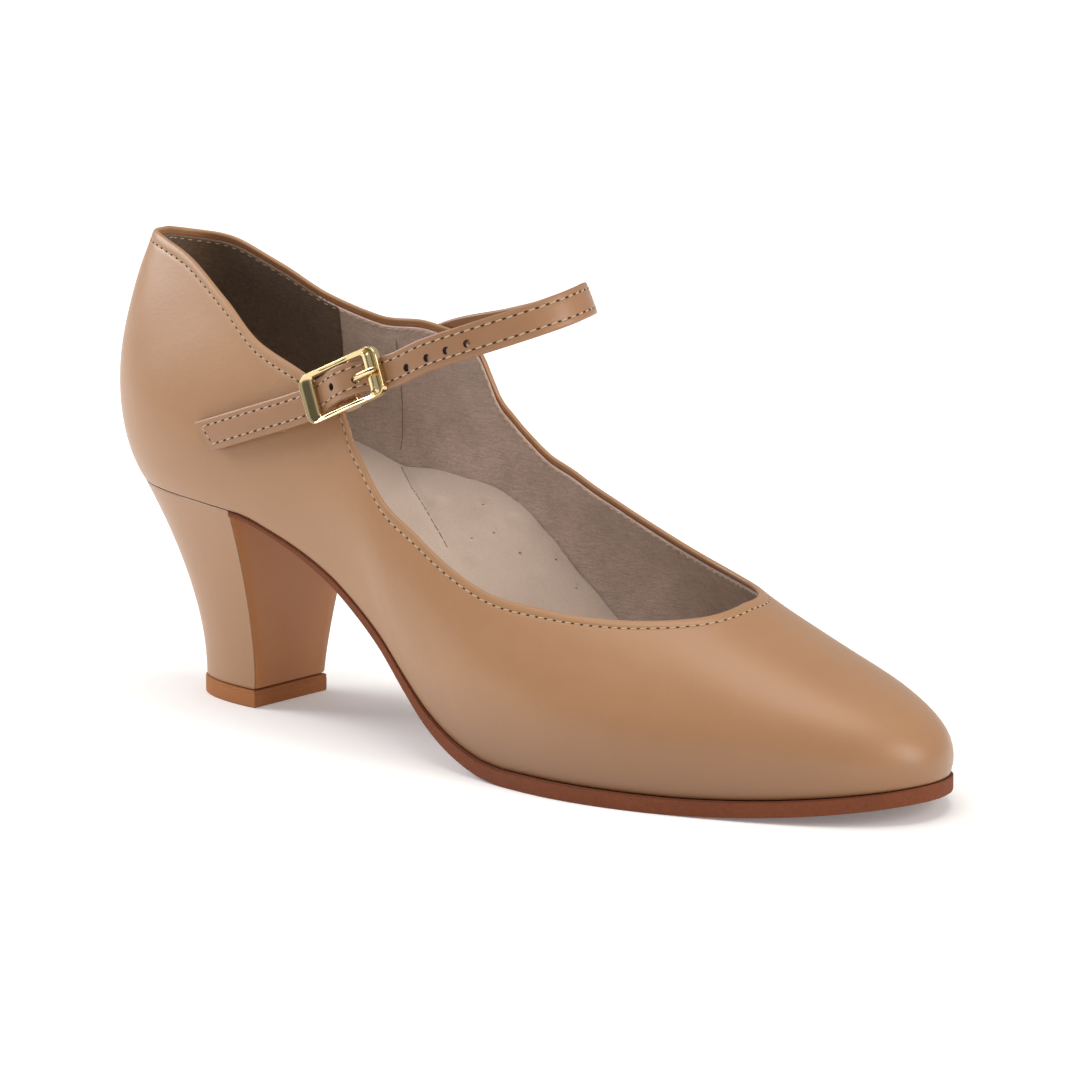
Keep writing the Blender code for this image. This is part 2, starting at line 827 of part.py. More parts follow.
def hole_cutter(tree, axes):
    # One round punch for each hole, and a longer one where the prong comes through
    distance, middle, along, down, out = strap_frames(tree, axes, 0.0006)
    offset = middle - np.array(axes[0])
    forward_of_bar = offset @ np.array(axes[1])
    near = np.linalg.norm(offset, axis=1) < frame_length
    near_bar = int(np.argmin(np.where(near, np.abs(forward_of_bar), 1)))
    cutter = bmesh.new()
    for number, (forward, fall) in enumerate(zip(holes["forward"], holes["down"])):
        i = int(np.argmin(np.abs(distance - distance[near_bar] - forward)))
        stretch = 0.0
        width = hole_diameter
        if number == 1:
            i = int(np.argmin(np.where(near, np.abs(forward_of_bar - prong_crossing), 1)))
            stretch = prong_slot / 2 - prong_width / 2 - gap
            width = prong_width + 2 * gap
            middle[i] -= np.array(axes[2]) * (offset[i] @ np.array(axes[2]))
        ring = []
        for side in (-1, 1):
            loop = []
            for corner in range(hole_sides):
                turn = 2 * pi * (corner + 0.5) / hole_sides
                forward = cos(turn) * width / 2 + (stretch if cos(turn) > 0 else -stretch)
                across = sin(turn) * width / 2 + fall
                point = middle[i] + along[i] * forward + down[i] * across + out[i] * side * strap_thickness
                loop.append(cutter.verts.new(point))
            ring.append(loop)
        for corner in range(hole_sides):
            after = (corner + 1) % hole_sides
            cutter.faces.new((ring[0][corner], ring[0][after], ring[1][after], ring[1][corner]))
        cutter.faces.new(ring[0][::-1])
        cutter.faces.new(ring[1])
    bmesh.ops.recalc_face_normals(cutter, faces=cutter.faces)
    mesh = bpy.data.meshes.new("strap_punches")
    cutter.to_mesh(mesh)
    cutter.free()
    return mesh


corner_steps = 5
hole_sides = 14
bar_sides = 16


def rounded_rectangle(rear, front, half_width, radius, along_points, across_points):
    # Points round a rounded rectangle, with the same count for any size
    centre_points = [
        (front - radius, half_width - radius, 0),
        (rear + radius, half_width - radius, 90),
        (rear + radius, -half_width + radius, 180),
        (front - radius, -half_width + radius, 270),
    ]
    points = []
    for number, (a, w, start) in enumerate(centre_points):
        for corner in range(corner_steps + 1):
            turn = radians(start + 90 / corner_steps * corner)
            points.append((a + radius * cos(turn), w + radius * sin(turn)))
        after = centre_points[(number + 1) % 4]
        turn = radians(after[2])
        target = (after[0] + radius * cos(turn), after[1] + radius * sin(turn))
        between = along_points if number % 2 == 0 else across_points
        last = points[-1]
        for step in range(1, between + 1):
            share = step / (between + 1)
            points.append(
                (last[0] + (target[0] - last[0]) * share, last[1] + (target[1] - last[1]) * share)
            )
    return points


def make_frame(place):
    # A dished frame whose rails deepen in the middle to carry the centre bar
    half = frame_length / 2
    outer_half = opening_width / 2 + frame_rail
    rim_width = frame_crest * frame_rail
    outer = rounded_rectangle(-half, half, outer_half, frame_corner, 11, 3)
    crest = rounded_rectangle(
        -half + rim_width, half - rim_width, outer_half - rim_width, frame_corner - rim_width, 11, 3
    )
    inner = rounded_rectangle(opening_rear, opening_front, opening_width / 2, opening_corner, 11, 3)

    def belly(a):
        depth = frame_under - bar_height + bar_radius
        return depth * (1 - smooth_step(abs(a), belly_start, belly_end))

    sections = []
    for (oa, ow), (ca, cw), (ia, iw) in zip(outer, crest, inner):
        low = frame_under - belly(oa)
        ease = frame_ease * frame_rail
        sections.append(
            np.array(
                [
                    place(oa, ow, low),
                    place(oa, ow, frame_top - ease),
                    place(ca, cw, frame_top),
                    place(ia, iw, frame_top - frame_dish),
                    place(ia, iw, low),
                ]
            )
        )
    return skin("buckle_frame", sections, closed=True)


def make_bar(place):
    # The centre bar between the rails
    reach = opening_width / 2 + frame_rail / 2
    ends = []
    for w in (-reach, reach):
        ring = []
        for corner in range(bar_sides):
            turn = 2 * pi * corner / bar_sides
            ring.append(place(bar_radius * cos(turn), w, bar_height + bar_radius * sin(turn)))
        ends.append(np.array(ring))
    return skin("centre_bar", ends, closed=False)


# The prong's rise from the hook: forward as shares of the crossing, up as shares of the rise
prong_rise = table(
    "forward up",
    (0.66, 0.22),
    (0.80, 0.48),
    (1.06, 0.74),
    (1.55, 0.94),
)


def prong_path():
    # A hook round the centre bar, then up through the strap and over the front bar
    hook = bar_radius + gap + prong_thickness / 2
    path = []
    for degrees in range(85, 345, 20):
        turn = radians(degrees)
        path.append((hook * cos(turn), bar_height + hook * sin(turn)))
    rise = prong_height - bar_height
    for forward, up in zip(prong_rise["forward"], prong_rise["up"]):
        path.append((prong_crossing * forward, bar_height + rise * up))
    path.append((opening_front - gap, prong_height))
    path.append((frame_length / 2 - frame_rail / 2, prong_height))
    return path


def make_prong(place):
    points = np.array(prong_path())
    tangent = unit(np.gradient(points, axis=0))
    outline_points = bar_section(prong_width, prong_thickness, prong_chamfer)
    sections = []
    for (a, n), (da, dn) in zip(points, tangent):
        section = [place(a - dn * t, w, n + da * t) for w, t in outline_points]
        sections.append(np.array(section))
    return skin("buckle_prong", sections, closed=False)


def chape_outline():
    # Side view of the chape: two layers behind the centre bar and a loop round it
    outer = [(-chape_length * share, gap) for share in (1.0, 0.7, 0.4)]
    outer += [(-1.6 * loop_radius, gap)]
    for degrees in range(270, 450, 20):
        turn = radians(degrees)
        outer.append((loop_radius * cos(turn), bar_height + loop_radius * sin(turn)))
    shoulder = radians(115)
    outer.append((loop_radius * cos(shoulder), bar_height + loop_radius * sin(shoulder)))
    outer += [(-1.6 * loop_radius, chape_top + 0.45 * chape_thickness), (-2.4 * loop_radius, chape_top)]
    outer += [(-chape_length * share, chape_top) for share in (0.4, 0.7, 1.0)]
    return outer


def make_chape(tree, axes, place):
    # The chape lies along the quarter, so each point's height is counted from its face
    origin, along, down, out = axes

    def lay(a, w, n):
        point = place(a, w, n)
        if a > -2 * loop_radius:
            return point
        hit = tree.ray_cast(place(a, w, 0.02), -out, 0.026)[0]
        drop = (hit - place(a, w, 0)).dot(out) if hit else 0.0
        return place(a, w, n + drop * smooth_step(-a, 2 * loop_radius, 4 * loop_radius))

    sections = []
    for w in np.linspace(-chape_width / 2, chape_width / 2, 5):
        sections.append(np.array([lay(a, w, n) for a, n in chape_outline()]))
    return skin("buckle_chape", sections, closed=False)


def box_mesh(name, place, low, high):
    corners = [(low[0], low[1]), (high[0], low[1]), (high[0], high[1]), (low[0], high[1])]
    near = np.array([place(a, w, low[2]) for a, w in corners])
    far = np.array([place(a, w, high[2]) for a, w in corners])
    return skin(name, [near, far], closed=False)


def guide_object(name, mesh):
    # A cutter or a body that only a Boolean uses
    item = bpy.data.objects.new(name, mesh)
    bpy.context.scene.collection.objects.link(item)
    item.hide_render = True
    item.display_type = "WIRE"
    return item


def cut(item, guide, operation):
    change = item.modifiers.new(guide.name, "BOOLEAN")
    change.operation = operation
    change.solver = "EXACT"
    change.object = guide


def clear_scene():
    for item in list(bpy.data.objects):
        bpy.data.objects.remove(item, do_unlink=True)


def make_sleeve(place):
    # The round hole of the chape's loop
    radius = bar_radius + gap
    ends = []
    for w in (-chape_width, chape_width):
        ring = []
        for corner in range(bar_sides):
            turn = 2 * pi * corner / bar_sides
            ring.append(place(radius * cos(turn), w, bar_height + radius * sin(turn)))
        ends.append(np.array(ring))
    return skin("chape_sleeve", ends, closed=False)


def settle():
    # Moves everything so that the middle of the shoe's box stands over the origin
    items = list(bpy.data.objects)
    points = np.array([v.co for item in items if not item.hide_render for v in item.data.vertices])
    low = points.min(axis=0)
    high = points.max(axis=0)
    middle = Vector(((low[0] + high[0]) / 2, (low[1] + high[1]) / 2, low[2]))
    for item in items:
        item.data.transform(Matrix.Translation(-middle))


def main():
    clear_scene()
    leather = material("tan_leather", (0.46, 0.27, 0.15), 0.42)
    suede = material("brown_suede", (0.24, 0.09, 0.05), 0.9)
    lining = material("taupe_lining", (0.46, 0.35, 0.29), 0.9)
    brass = material("pale_brass", (0.83, 0.70, 0.42), 0.2, 1.0)
    add_object("upper", make_upper(), leather)
    add_object("insole", make_insole(), lining)
    add_object("outsole", make_outsole(), suede)
    add_object("heel", make_heel(), leather)
    add_object("top_lift", make_top_lift(), suede)
    tree = outer_face_tree()
    axes = buckle_axes(tree)
    place = buckle_place(axes)
    strap = add_object("strap", make_strap(tree, axes), leather)
    cut(strap, guide_object("strap_punches", hole_cutter(tree, axes)), "DIFFERENCE")
    frame = add_object("buckle_frame", make_frame(place), brass)
    cut(frame, guide_object("centre_bar", make_bar(place)), "UNION")
    add_object("buckle_prong", make_prong(place), brass)
    chape = add_object("buckle_chape", make_chape(tree, axes, place), leather)
    cut(chape, guide_object("chape_sleeve", make_sleeve(place)), "DIFFERENCE")
    slot_low = (-loop_radius - gap, -prong_width / 2 - gap, 0)
    slot_high = (loop_radius + 2 * gap, prong_width / 2 + gap, bar_height + 2 * loop_radius)
    cut(chape, guide_object("chape_slot", box_mesh("chape_slot", place, slot_low, slot_high)), "DIFFERENCE")
    settle()


main()
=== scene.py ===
from math import cos, pi, radians, sin, tan

import bmesh
import bpy
import numpy as np
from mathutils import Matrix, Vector
from mathutils.bvhtree import BVHTree


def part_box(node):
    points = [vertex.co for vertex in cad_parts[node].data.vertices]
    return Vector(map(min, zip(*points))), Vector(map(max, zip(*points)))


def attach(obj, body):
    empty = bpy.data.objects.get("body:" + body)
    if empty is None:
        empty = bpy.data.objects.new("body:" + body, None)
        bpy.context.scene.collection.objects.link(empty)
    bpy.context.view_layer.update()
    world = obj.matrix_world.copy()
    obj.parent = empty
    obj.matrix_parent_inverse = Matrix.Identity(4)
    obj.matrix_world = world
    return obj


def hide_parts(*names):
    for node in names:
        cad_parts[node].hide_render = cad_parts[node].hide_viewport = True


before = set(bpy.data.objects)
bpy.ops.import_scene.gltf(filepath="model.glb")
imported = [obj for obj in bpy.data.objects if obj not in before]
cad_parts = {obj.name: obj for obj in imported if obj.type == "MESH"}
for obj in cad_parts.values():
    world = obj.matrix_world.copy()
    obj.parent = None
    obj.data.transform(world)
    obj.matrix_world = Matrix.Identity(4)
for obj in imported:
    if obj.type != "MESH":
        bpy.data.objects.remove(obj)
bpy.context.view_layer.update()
print("frame loaded")

mm = 0.001
gap = 0.0003

# sizes of the last, the same as in the solid model
featherLength = 0.2335
ballHalfWidth = 0.037
seatRound = 0.022
toeRound = 0.015
collarRound = 0.0105
throatRound = 0.0070
seatBack = 0.006
seatRise = 0.0487
counterRise = 0.0585
toeSwing = 0.006
throatSwing = 0.002
swingStart = 0.3
toeSpring = 0.005
springStart = 0.76
soleThickness = 0.0038
soleMargin = 0.0015
waistMargin = 0.0003
toeMargin = 0.0004
waistStart = 0.22
waistEnd = 0.50
insoleThickness = 0.0022
archStart = 0.38
archBend = 2.2
wall = 0.0018
liftHeight = 0.0042
liftMargin = 0.0004
baseBack = 0.0218
baseBreast = 0.0455
baseHalfWidth = 0.0125
seatBreast = 0.0495
backSweep = 2.5
breastSweep = 1.0
sideSweep = 1.5
baseSquareness = 0.85

# sizes of the strap and the buckle
strapWidth = 0.0079
strapThickness = 0.0017
tailPitch = radians(19.6)
tailLength = 0.0485
tailSlant = 0.0046
tailSettle = 0.0024
crownForward = 0.0473
crownRise = 0.0173
crownFullness = 0.85
crownLean = radians(27)
rootPitch = radians(22.8)
rootReach = 0.0340
rootBack = 0.0175
rootSide = 0.0240
rootRise = 0.0012
rootFlatness = 1.5
rootClearance = 0.0006
holeDiameter = 0.0019
buckleForward = 0.0908
buckleHeight = 0.0870
bucklePitch = radians(26)
buckleTurn = 0.075
buckleTip = 0.12
buckleTouch = 0.40
buckleSag = 0.2
frameLength = 0.0250
frameRail = 0.0012
sidePlay = 0.0009
frameRearBar = 0.0037
frameFrontBar = 0.0042
frameDepth = 0.0016
frameCorner = 0.0026
barDiameter = 0.0019
prongThickness = 0.0010
prongWidth = 0.0015
chapeThickness = 0.0010
chapeWidth = 0.0062
chapeLength = 0.0250
strapLift = 0.0007
prongCrossing = 0.0036


def table(names, *rows):
    columns = [np.array(column, dtype=float) for column in zip(*rows)]
    return dict(zip(names.split(), columns))


outline = table(
    "along lateral medial",
    (0.10, 0.62, 0.62),
    (0.20, 0.70, 0.63),
    (0.32, 0.72, 0.56),
    (0.45, 0.80, 0.50),
    (0.57, 0.93, 0.65),
    (0.66, 1.00, 0.89),
    (0.74, 0.96, 0.98),
    (0.83, 0.81, 0.90),
    (0.92, 0.58, 0.65),
)
bottomLine = table(
    "along rise",
    (0.00, 1.000),
    (0.10, 0.990),
    (0.20, 0.965),
    (0.25, 0.905),
    (0.29, 0.838),
    (0.33, 0.750),
    (0.36, 0.660),
    (0.40, 0.515),
    (0.44, 0.326),
    (0.47, 0.198),
    (0.50, 0.108),
    (0.53, 0.048),
    (0.56, 0.012),
    (0.59, 0.000),
    (1.00, 0.000),
)
rimLine = table(
    "along forward lateral medial lateralHeight medialHeight",
    (0.00, 0.004, 0.00, 0.00, 1.930, 1.930),
    (0.06, 0.054, 0.32, 0.32, 1.900, 1.890),
    (0.19, 0.188, 0.54, 0.54, 1.690, 1.670),
    (0.33, 0.325, 0.66, 0.66, 1.470, 1.560),
    (0.41, 0.368, 0.70, 0.68, 1.355, 1.470),
    (0.49, 0.416, 0.75, 0.71, 1.170, 1.290),
    (0.57, 0.478, 0.79, 0.72, 1.000, 1.100),
    (0.65, 0.546, 0.78, 0.70, 0.865, 0.975),
    (0.79, 0.645, 0.64, 0.60, 0.775, 0.850),
    (0.91, 0.716, 0.43, 0.41, 0.768, 0.798),
    (1.00, 0.760, 0.00, 0.00, 0.785, 0.785),
)
wallSlope = table(
    "along lateralLean medialLean lateralFall medialFall footReach rimReach",
    (0.00, 33, 33, 67, 67, 0.34, 0.36),
    (0.10, 28, 30, 71, 71, 0.34, 0.36),
    (0.25, 18, 32, 76, 78, 0.34, 0.36),
    (0.42, 14, 42, 72, 76, 0.34, 0.36),
    (0.58, 14, 30, 62, 66, 0.32, 0.40),
    (0.72, 15, 16, 48, 54, 0.30, 0.42),
    (0.86, 18, 16, 37, 44, 0.28, 0.40),
    (1.00, 22, 22, 29, 29, 0.28, 0.40),
)
lateralTopline = table(
    "along share",
    (0.00, 0.978),
    (0.02, 0.985),
    (0.05, 0.988),
    (0.10, 1.000),
    (0.16, 0.975),
    (0.215, 0.918),
    (0.28, 0.940),
    (0.315, 0.945),
    (0.342, 0.955),
    (0.357, 0.925),
    (0.382, 0.862),
    (0.45, 0.870),
    (0.54, 0.910),
    (0.63, 0.903),
    (0.73, 0.922),
    (0.84, 0.918),
    (0.95, 0.925),
    (1.00, 0.957),
)
medialTopline = table(
    "along share",
    (0.00, 0.978),
    (0.02, 0.945),
    (0.07, 0.962),
    (0.11, 0.960),
    (0.155, 0.931),
    (0.21, 0.925),
    (0.27, 0.980),
    (0.33, 0.985),
    (0.345, 0.962),
    (0.354, 0.890),
    (0.362, 0.805),
    (0.375, 0.772),
    (0.40, 0.774),
    (0.44, 0.808),
    (0.53, 0.900),
    (0.60, 0.922),
    (0.73, 0.916),
    (0.85, 0.930),
    (0.95, 0.960),
    (1.00, 0.957),
)
sway = table(
    "share offset",
    (-1.0, 0.0002),
    (-0.75, -0.0002),
    (-0.4, -0.0006),
    (0.4, -0.0006),
    (0.75, 0.0002),
    (1.0, 0.0009),
)
holes = table(
    "forward down",
    (-0.0026, 0.0000),
    (0.0040, 0.0000),
    (0.0124, 0.0008),
    (0.0203, 0.0010),
    (0.0261, 0.0009),
    (0.0320, 0.0007),
    (0.0380, 0.0006),
)
archEdge = table(
    "along share",
    (0.00, 0.090),
    (0.10, 0.130),
    (0.16, 0.190),
    (0.23, 0.160),
    (0.29, 0.245),
    (0.34, 0.305),
    (0.38, 0.370),
    (0.43, 0.415),
    (0.48, 0.475),
    (0.515, 0.470),
    (0.55, 0.400),
    (0.60, 0.270),
    (0.66, 0.150),
    (0.74, 0.090),
    (1.00, 0.090),
)


def station(along):
    return np.arccos(1 - 2 * np.asarray(along, dtype=float)) / pi


def alongOf(t):
    return (1 - np.cos(pi * t)) / 2


def loopSpline(stations, lateral, medial):
    # smooth closed curve: 0 back, 1 toe along the lateral side, 2 back again
    knots = np.concatenate([stations, 2 - stations[-2:0:-1]])
    values = np.concatenate([lateral, medial[-2:0:-1]])
    count = len(knots)
    step = np.diff(np.append(knots, 2.0))
    slope = (np.roll(values, -1) - values) / step
    system = np.zeros((count, count))
    for i in range(count):
        system[i, i - 1] += step[i - 1]
        system[i, i] += 2 * (step[i - 1] + step[i])
        system[i, (i + 1) % count] += step[i]
    bend = np.linalg.solve(system, 6 * (slope - np.roll(slope, 1)))

    def valueAt(w):
        w = np.mod(w, 2)
        i = np.clip(np.searchsorted(knots, w, side="right") - 1, 0, count - 1)
        after = (i + 1) % count
        far = (w - knots[i]) / step[i]
        near = 1 - far
        curve = (near**3 - near) * bend[i] + (far**3 - far) * bend[after]
        return near * values[i] + far * values[after] + step[i] ** 2 / 6 * curve

    return valueAt


def steadyLine(stations, values):
    # through the points without overshoot
    step = np.diff(stations)
    slope = np.diff(values) / step
    tangent = np.zeros(len(values))
    for i in range(1, len(values) - 1):
        if slope[i - 1] * slope[i] > 0:
            early = 2 * step[i] + step[i - 1]
            late = step[i] + 2 * step[i - 1]
            tangent[i] = (early + late) / (early / slope[i - 1] + late / slope[i])
    tangent[0] = slope[0]
    tangent[-1] = slope[-1]

    def valueAt(s):
        s = np.clip(s, stations[0], stations[-1])
        i = np.clip(np.searchsorted(stations, s, side="right") - 1, 0, len(step) - 1)
        h = step[i]
        u = (s - stations[i]) / h
        rise = u * u * (3 - 2 * u)
        ends = values[i] * (1 - rise) + values[i + 1] * rise
        return ends + h * tangent[i] * u * (1 - u) ** 2 - h * tangent[i + 1] * u * u * (1 - u)

    return valueAt


def smoothStep(value, start, end):
    u = np.clip((value - start) / (end - start), 0, 1)
    return u * u * (3 - 2 * u)


def fullnessSpline(rows, backRound, frontRound):
    inner = station(rows["along"])
    roundEnds = np.sin(pi * inner)
    back = (backRound * featherLength / 2) ** 0.5
    front = (frontRound * featherLength / 2) ** 0.5
    stations = np.concatenate([[0], inner, [1]])
    lateral = np.concatenate([[back], rows["lateral"] * ballHalfWidth / roundEnds, [front]])
    medial = np.concatenate([[back], rows["medial"] * ballHalfWidth / roundEnds, [front]])
    return loopSpline(stations, lateral, medial)


riseAt = steadyLine(bottomLine["along"], bottomLine["rise"])
featherFullness = fullnessSpline(outline, seatRound, toeRound)
rimInner = {name: column[1:-1] for name, column in rimLine.items()}
rimFullness = fullnessSpline(rimInner, collarRound, throatRound)
rimStations = station(rimLine["along"])
rimForward = loopSpline(rimStations, rimLine["forward"], rimLine["forward"])
rimHeight = loopSpline(rimStations, rimLine["lateralHeight"], rimLine["medialHeight"])
slopeStations = station(wallSlope["along"])
footLean = loopSpline(slopeStations, wallSlope["lateralLean"], wallSlope["medialLean"])
rimFall = loopSpline(slopeStations, wallSlope["lateralFall"], wallSlope["medialFall"])
footReach = loopSpline(slopeStations, wallSlope["footReach"], wallSlope["footReach"])
rimReach = loopSpline(slopeStations, wallSlope["rimReach"], wallSlope["rimReach"])
lateralShare = steadyLine(station(lateralTopline["along"]), lateralTopline["share"])
medialShare = steadyLine(station(medialTopline["along"]), medialTopline["share"])
archShare = steadyLine(station(archEdge["along"]), archEdge["share"])
strapSway = steadyLine(sway["share"], sway["offset"])


def outStation(w):
    w = np.mod(w, 2)
    return np.where(w <= 1, w, 2 - w)


def sideOf(w):
    return np.where(np.mod(w, 2) <= 1, -1.0, 1.0)


def seatHeight(x):
    along = np.clip((x - seatBack) / featherLength, 0, 1)
    spring = toeSpring * (np.clip(along - springStart, 0, 1) / (1 - springStart)) ** 2
    return soleThickness + seatRise * riseAt(along) + spring


def swing(along, amount):
    return amount * smoothStep(along, swingStart, 1.0)


def feather(w):
    t = outStation(w)
    along = alongOf(t)
    x = seatBack + featherLength * along
    y = swing(along, toeSwing) + sideOf(w) * np.sin(pi * t) * featherFullness(w)
    return np.stack([x, y, seatHeight(x)], axis=-1)


def rim(w):
    t = outStation(w)
    x = seatBack + featherLength * rimForward(w)
    y = swing(alongOf(t), throatSwing) + sideOf(w) * np.sin(pi * t) * rimFullness(w)
    return np.stack([x, y, counterRise * rimHeight(w)], axis=-1)


def bell(value, width):
    return np.exp(-((value / width) ** 2))


def turns(*degrees):
    return [radians(value) for value in degrees]


def unit(vectors):
    return vectors / np.linalg.norm(vectors, axis=-1, keepdims=True)


def dot(one, other):
    return np.sum(one * other, axis=-1, keepdims=True)


def tangentAndOutward(curve, w):
    nudge = 0.002
    tangent = unit(curve(w + nudge) - curve(w - nudge))
    outward = np.stack([tangent[..., 1], -tangent[..., 0], np.zeros_like(w)], axis=-1)
    return tangent, unit(outward)


def wallSurface(w, v):
    # outer face of the upper, v from the feather line (0) to the rim (1)
    up = np.array([0.0, 0.0, 1.0])
    low = feather(w)
    high = rim(w)
    chord = high - low
    span = np.linalg.norm(chord, axis=-1, keepdims=True)
    lowAlong, lowOut = tangentAndOutward(feather, w)
    highAlong, highOut = tangentAndOutward(rim, w)
    lean = np.radians(footLean(w))[..., None]
    fall = np.radians(rimFall(w))[..., None]
    rise = footReach(w)[..., None] * span * (lowOut * np.sin(lean) + up * np.cos(lean))
    drop = rimReach(w)[..., None] * span * (highOut * np.cos(fall) - up * np.sin(fall))
    first = low + lowAlong * dot(chord, lowAlong) / 3 + rise
    second = high - highAlong * dot(chord, highAlong) / 3 + drop
    v = np.asarray(v)[..., None]
    u = 1 - v
    return u**3 * low + 3 * u * u * v * first + 3 * u * v * v * second + v**3 * high


def wallNormal(w, v):
    nudge = 0.001
    v = np.maximum(v, nudge)
    along = wallSurface(w + nudge, v) - wallSurface(w - nudge, v)
    upward = wallSurface(w, v + nudge) - wallSurface(w, v - nudge)
    return unit(np.cross(along, upward))


def toplineShare(w):
    t = outStation(w)
    return np.where(sideOf(w) < 0, lateralShare(t), medialShare(t))


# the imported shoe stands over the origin, so pieces move by this much at the end
liftLow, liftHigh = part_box("top_lift")
shift = Vector(
    ((liftLow.x + liftHigh.x) / 2 - (baseBack + baseBreast) / 2, (liftLow.y + liftHigh.y) / 2, 0.0)
)


def rowLengths(w):
    # shares and lengths along each row of the wall, from the feather line up
    steps = np.linspace(0, 1, 121)
    shares = toplineShare(w)[:, None] * steps
    points = wallSurface(np.repeat(w[:, None], len(steps), axis=1), shares)
    lengths = np.linalg.norm(np.diff(points, axis=1), axis=2)
    return shares, np.concatenate([np.zeros((len(w), 1)), np.cumsum(lengths, axis=1)], axis=1)


def sharesBelowEdge(w, distances):
    # the share of each row that lies so far below the topline
    shares, lengths = rowLengths(w)
    total = lengths[:, -1]
    wanted = total[:, None] - distances
    return np.array([np.interp(wanted[i], lengths[i], shares[i]) for i in range(len(w))])


def wallPoints(w, distances, depth):
    # points so far below the topline and so deep in the wall
    v = sharesBelowEdge(w, distances)
    spread = np.repeat(w[:, None], v.shape[1], axis=1)
    return wallSurface(spread, v) - wallNormal(spread, v) * depth


def makePiece(name, points, faces, finish, nodes, slot, sharp=None):
    mesh = bpy.data.meshes.new(name)
    mesh.from_pydata([tuple(p) for p in np.asarray(points) + np.array(shift)], [], faces)
    mesh.validate()
    shape = bmesh.new()
    shape.from_mesh(mesh)
    bmesh.ops.recalc_face_normals(shape, faces=shape.faces)
    if shape.calc_volume(signed=True) < 0:
        bmesh.ops.reverse_faces(shape, faces=shape.faces)
    shape.to_mesh(mesh)
    shape.free()
    mesh.materials.append(finish)
    mesh.shade_smooth()
    if sharp:
        mesh.set_sharp_from_angle(angle=radians(sharp))
    piece = bpy.data.objects.new(name, mesh)
    bpy.context.scene.collection.objects.link(piece)
    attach(piece, "root")
    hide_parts(*nodes)
    print("built", name, len(mesh.polygons))
    return piece


def gridFaces(rows, columns, closeRows, closeColumns, start=0):
    faces = []
    for i in range(rows if closeRows else rows - 1):
        k = (i + 1) % rows
        for j in range(columns if closeColumns else columns - 1):
            m = (j + 1) % columns
            near, far = start + i * columns, start + k * columns
            faces.append((near + j, near + m, far + m, far + j))
    return faces


def ringBody(sections, closed):
    # skin over sections of equal counts, capped at both ends when it is open
    rows, columns = sections.shape[:2]
    faces = gridFaces(rows, columns, closed, True)
    if not closed:
        faces.append(tuple(range(columns)))
        faces.append(tuple(range((rows - 1) * columns, rows * columns)))
    return sections.reshape(-1, 3), faces


def nearPolyline(points, corners):
    # distance of each point from a given polyline
    shape = points.shape[:-1]
    flat = points.reshape(-1, 3)
    best = np.full(len(flat), 1.0)
    corners = np.array(corners, dtype=float)
    for start, end in zip(corners[:-1], corners[1:]):
        side = end - start
        share = np.clip((flat - start) @ side / (side @ side), 0, 1)
        best = np.minimum(best, np.linalg.norm(flat - start - share[:, None] * side, axis=1))
    return best.reshape(shape)


def lengthsAlong(points):
    return np.concatenate([[0], np.cumsum(np.linalg.norm(np.diff(points, axis=0), axis=1))])


def between(wanted, lengths, values):
    return np.stack([np.interp(wanted, lengths, values[:, k]) for k in range(3)], axis=1)


def samplePath(points, pitch, start=0.0):
    # even steps along a path: lengths, places and unit directions
    nudge = 0.3 * mm
    lengths = lengthsAlong(points)
    wanted = np.arange(start, lengths[-1] - pitch / 2, pitch)
    ahead = between(wanted + nudge, lengths, points)
    behind = between(wanted - nudge, lengths, points)
    return wanted, between(wanted, lengths, points), unit(ahead - behind)


def beadTemplate(sides, profile):
    rings = []
    for along, radius in profile:
        for side in range(sides):
            turn = 2 * pi * side / sides
            rings.append((along, radius * cos(turn), radius * sin(turn)))
    faces = gridFaces(len(profile), sides, False, True)
    faces.append(tuple(range(sides))[::-1])
    faces.append(tuple(range((len(profile) - 1) * sides, len(profile) * sides)))
    return np.array(rings), faces


beadProfile = [(-1.0, 0.35), (-0.86, 0.75), (-0.5, 1.0), (0.5, 1.0), (0.86, 0.75), (1.0, 0.35)]


def beads(places, directions, normals, half, tilt=0.0):
    # one small rounded bar at every place; half holds its half length, width and height in millimetres
    template, templateFaces = beadTemplate(7, beadProfile)
    points = []
    faces = []
    for place, along, normal in zip(places, directions, normals):
        across = np.cross(normal, along)
        along = unit(along + across * tilt)
        across = unit(np.cross(normal, along))
        normal = np.cross(along, across)
        start = len(points) * len(template)
        spread = np.outer(template[:, 0] * (half[0] * mm), along)
        spread += np.outer(template[:, 1] * (half[1] * mm), across)
        spread += np.outer(template[:, 2] * (half[2] * mm), normal)
        points.append(place + spread)
        faces += [tuple(start + index for index in face) for face in templateFaces]
    return np.concatenate(points), faces


def mergeShapes(shapes):
    points = []
    faces = []
    count = 0
    for shapePoints, shapeFaces in shapes:
        points.append(shapePoints)
        faces += [tuple(count + index for index in face) for face in shapeFaces]
        count += len(shapePoints)
    return np.concatenate(points), faces


class Wire:
    # a shader socket that takes part in plain arithmetic
    def __init__(self, finish, socket):
        self.finish = finish
        self.socket = socket

    def math(self, operation, first, second):
        return self.finish.node("ShaderNodeMath", {"operation": operation}, {0: first, 1: second})

    def __add__(self, other):
        return self.math("ADD", self, other)

    def __radd__(self, other):
        return self.math("ADD", other, self)

    def __sub__(self, other):
        return self.math("SUBTRACT", self, other)

    def __rsub__(self, other):
        return self.math("SUBTRACT", other, self)

    def __mul__(self, other):
        return self.math("MULTIPLY", self, other)

    def __rmul__(self, other):
        return self.math("MULTIPLY", other, self)

    def __truediv__(self, other):
        return self.math("DIVIDE", self, other)

    def __rtruediv__(self, other):
        return self.math("DIVIDE", other, self)


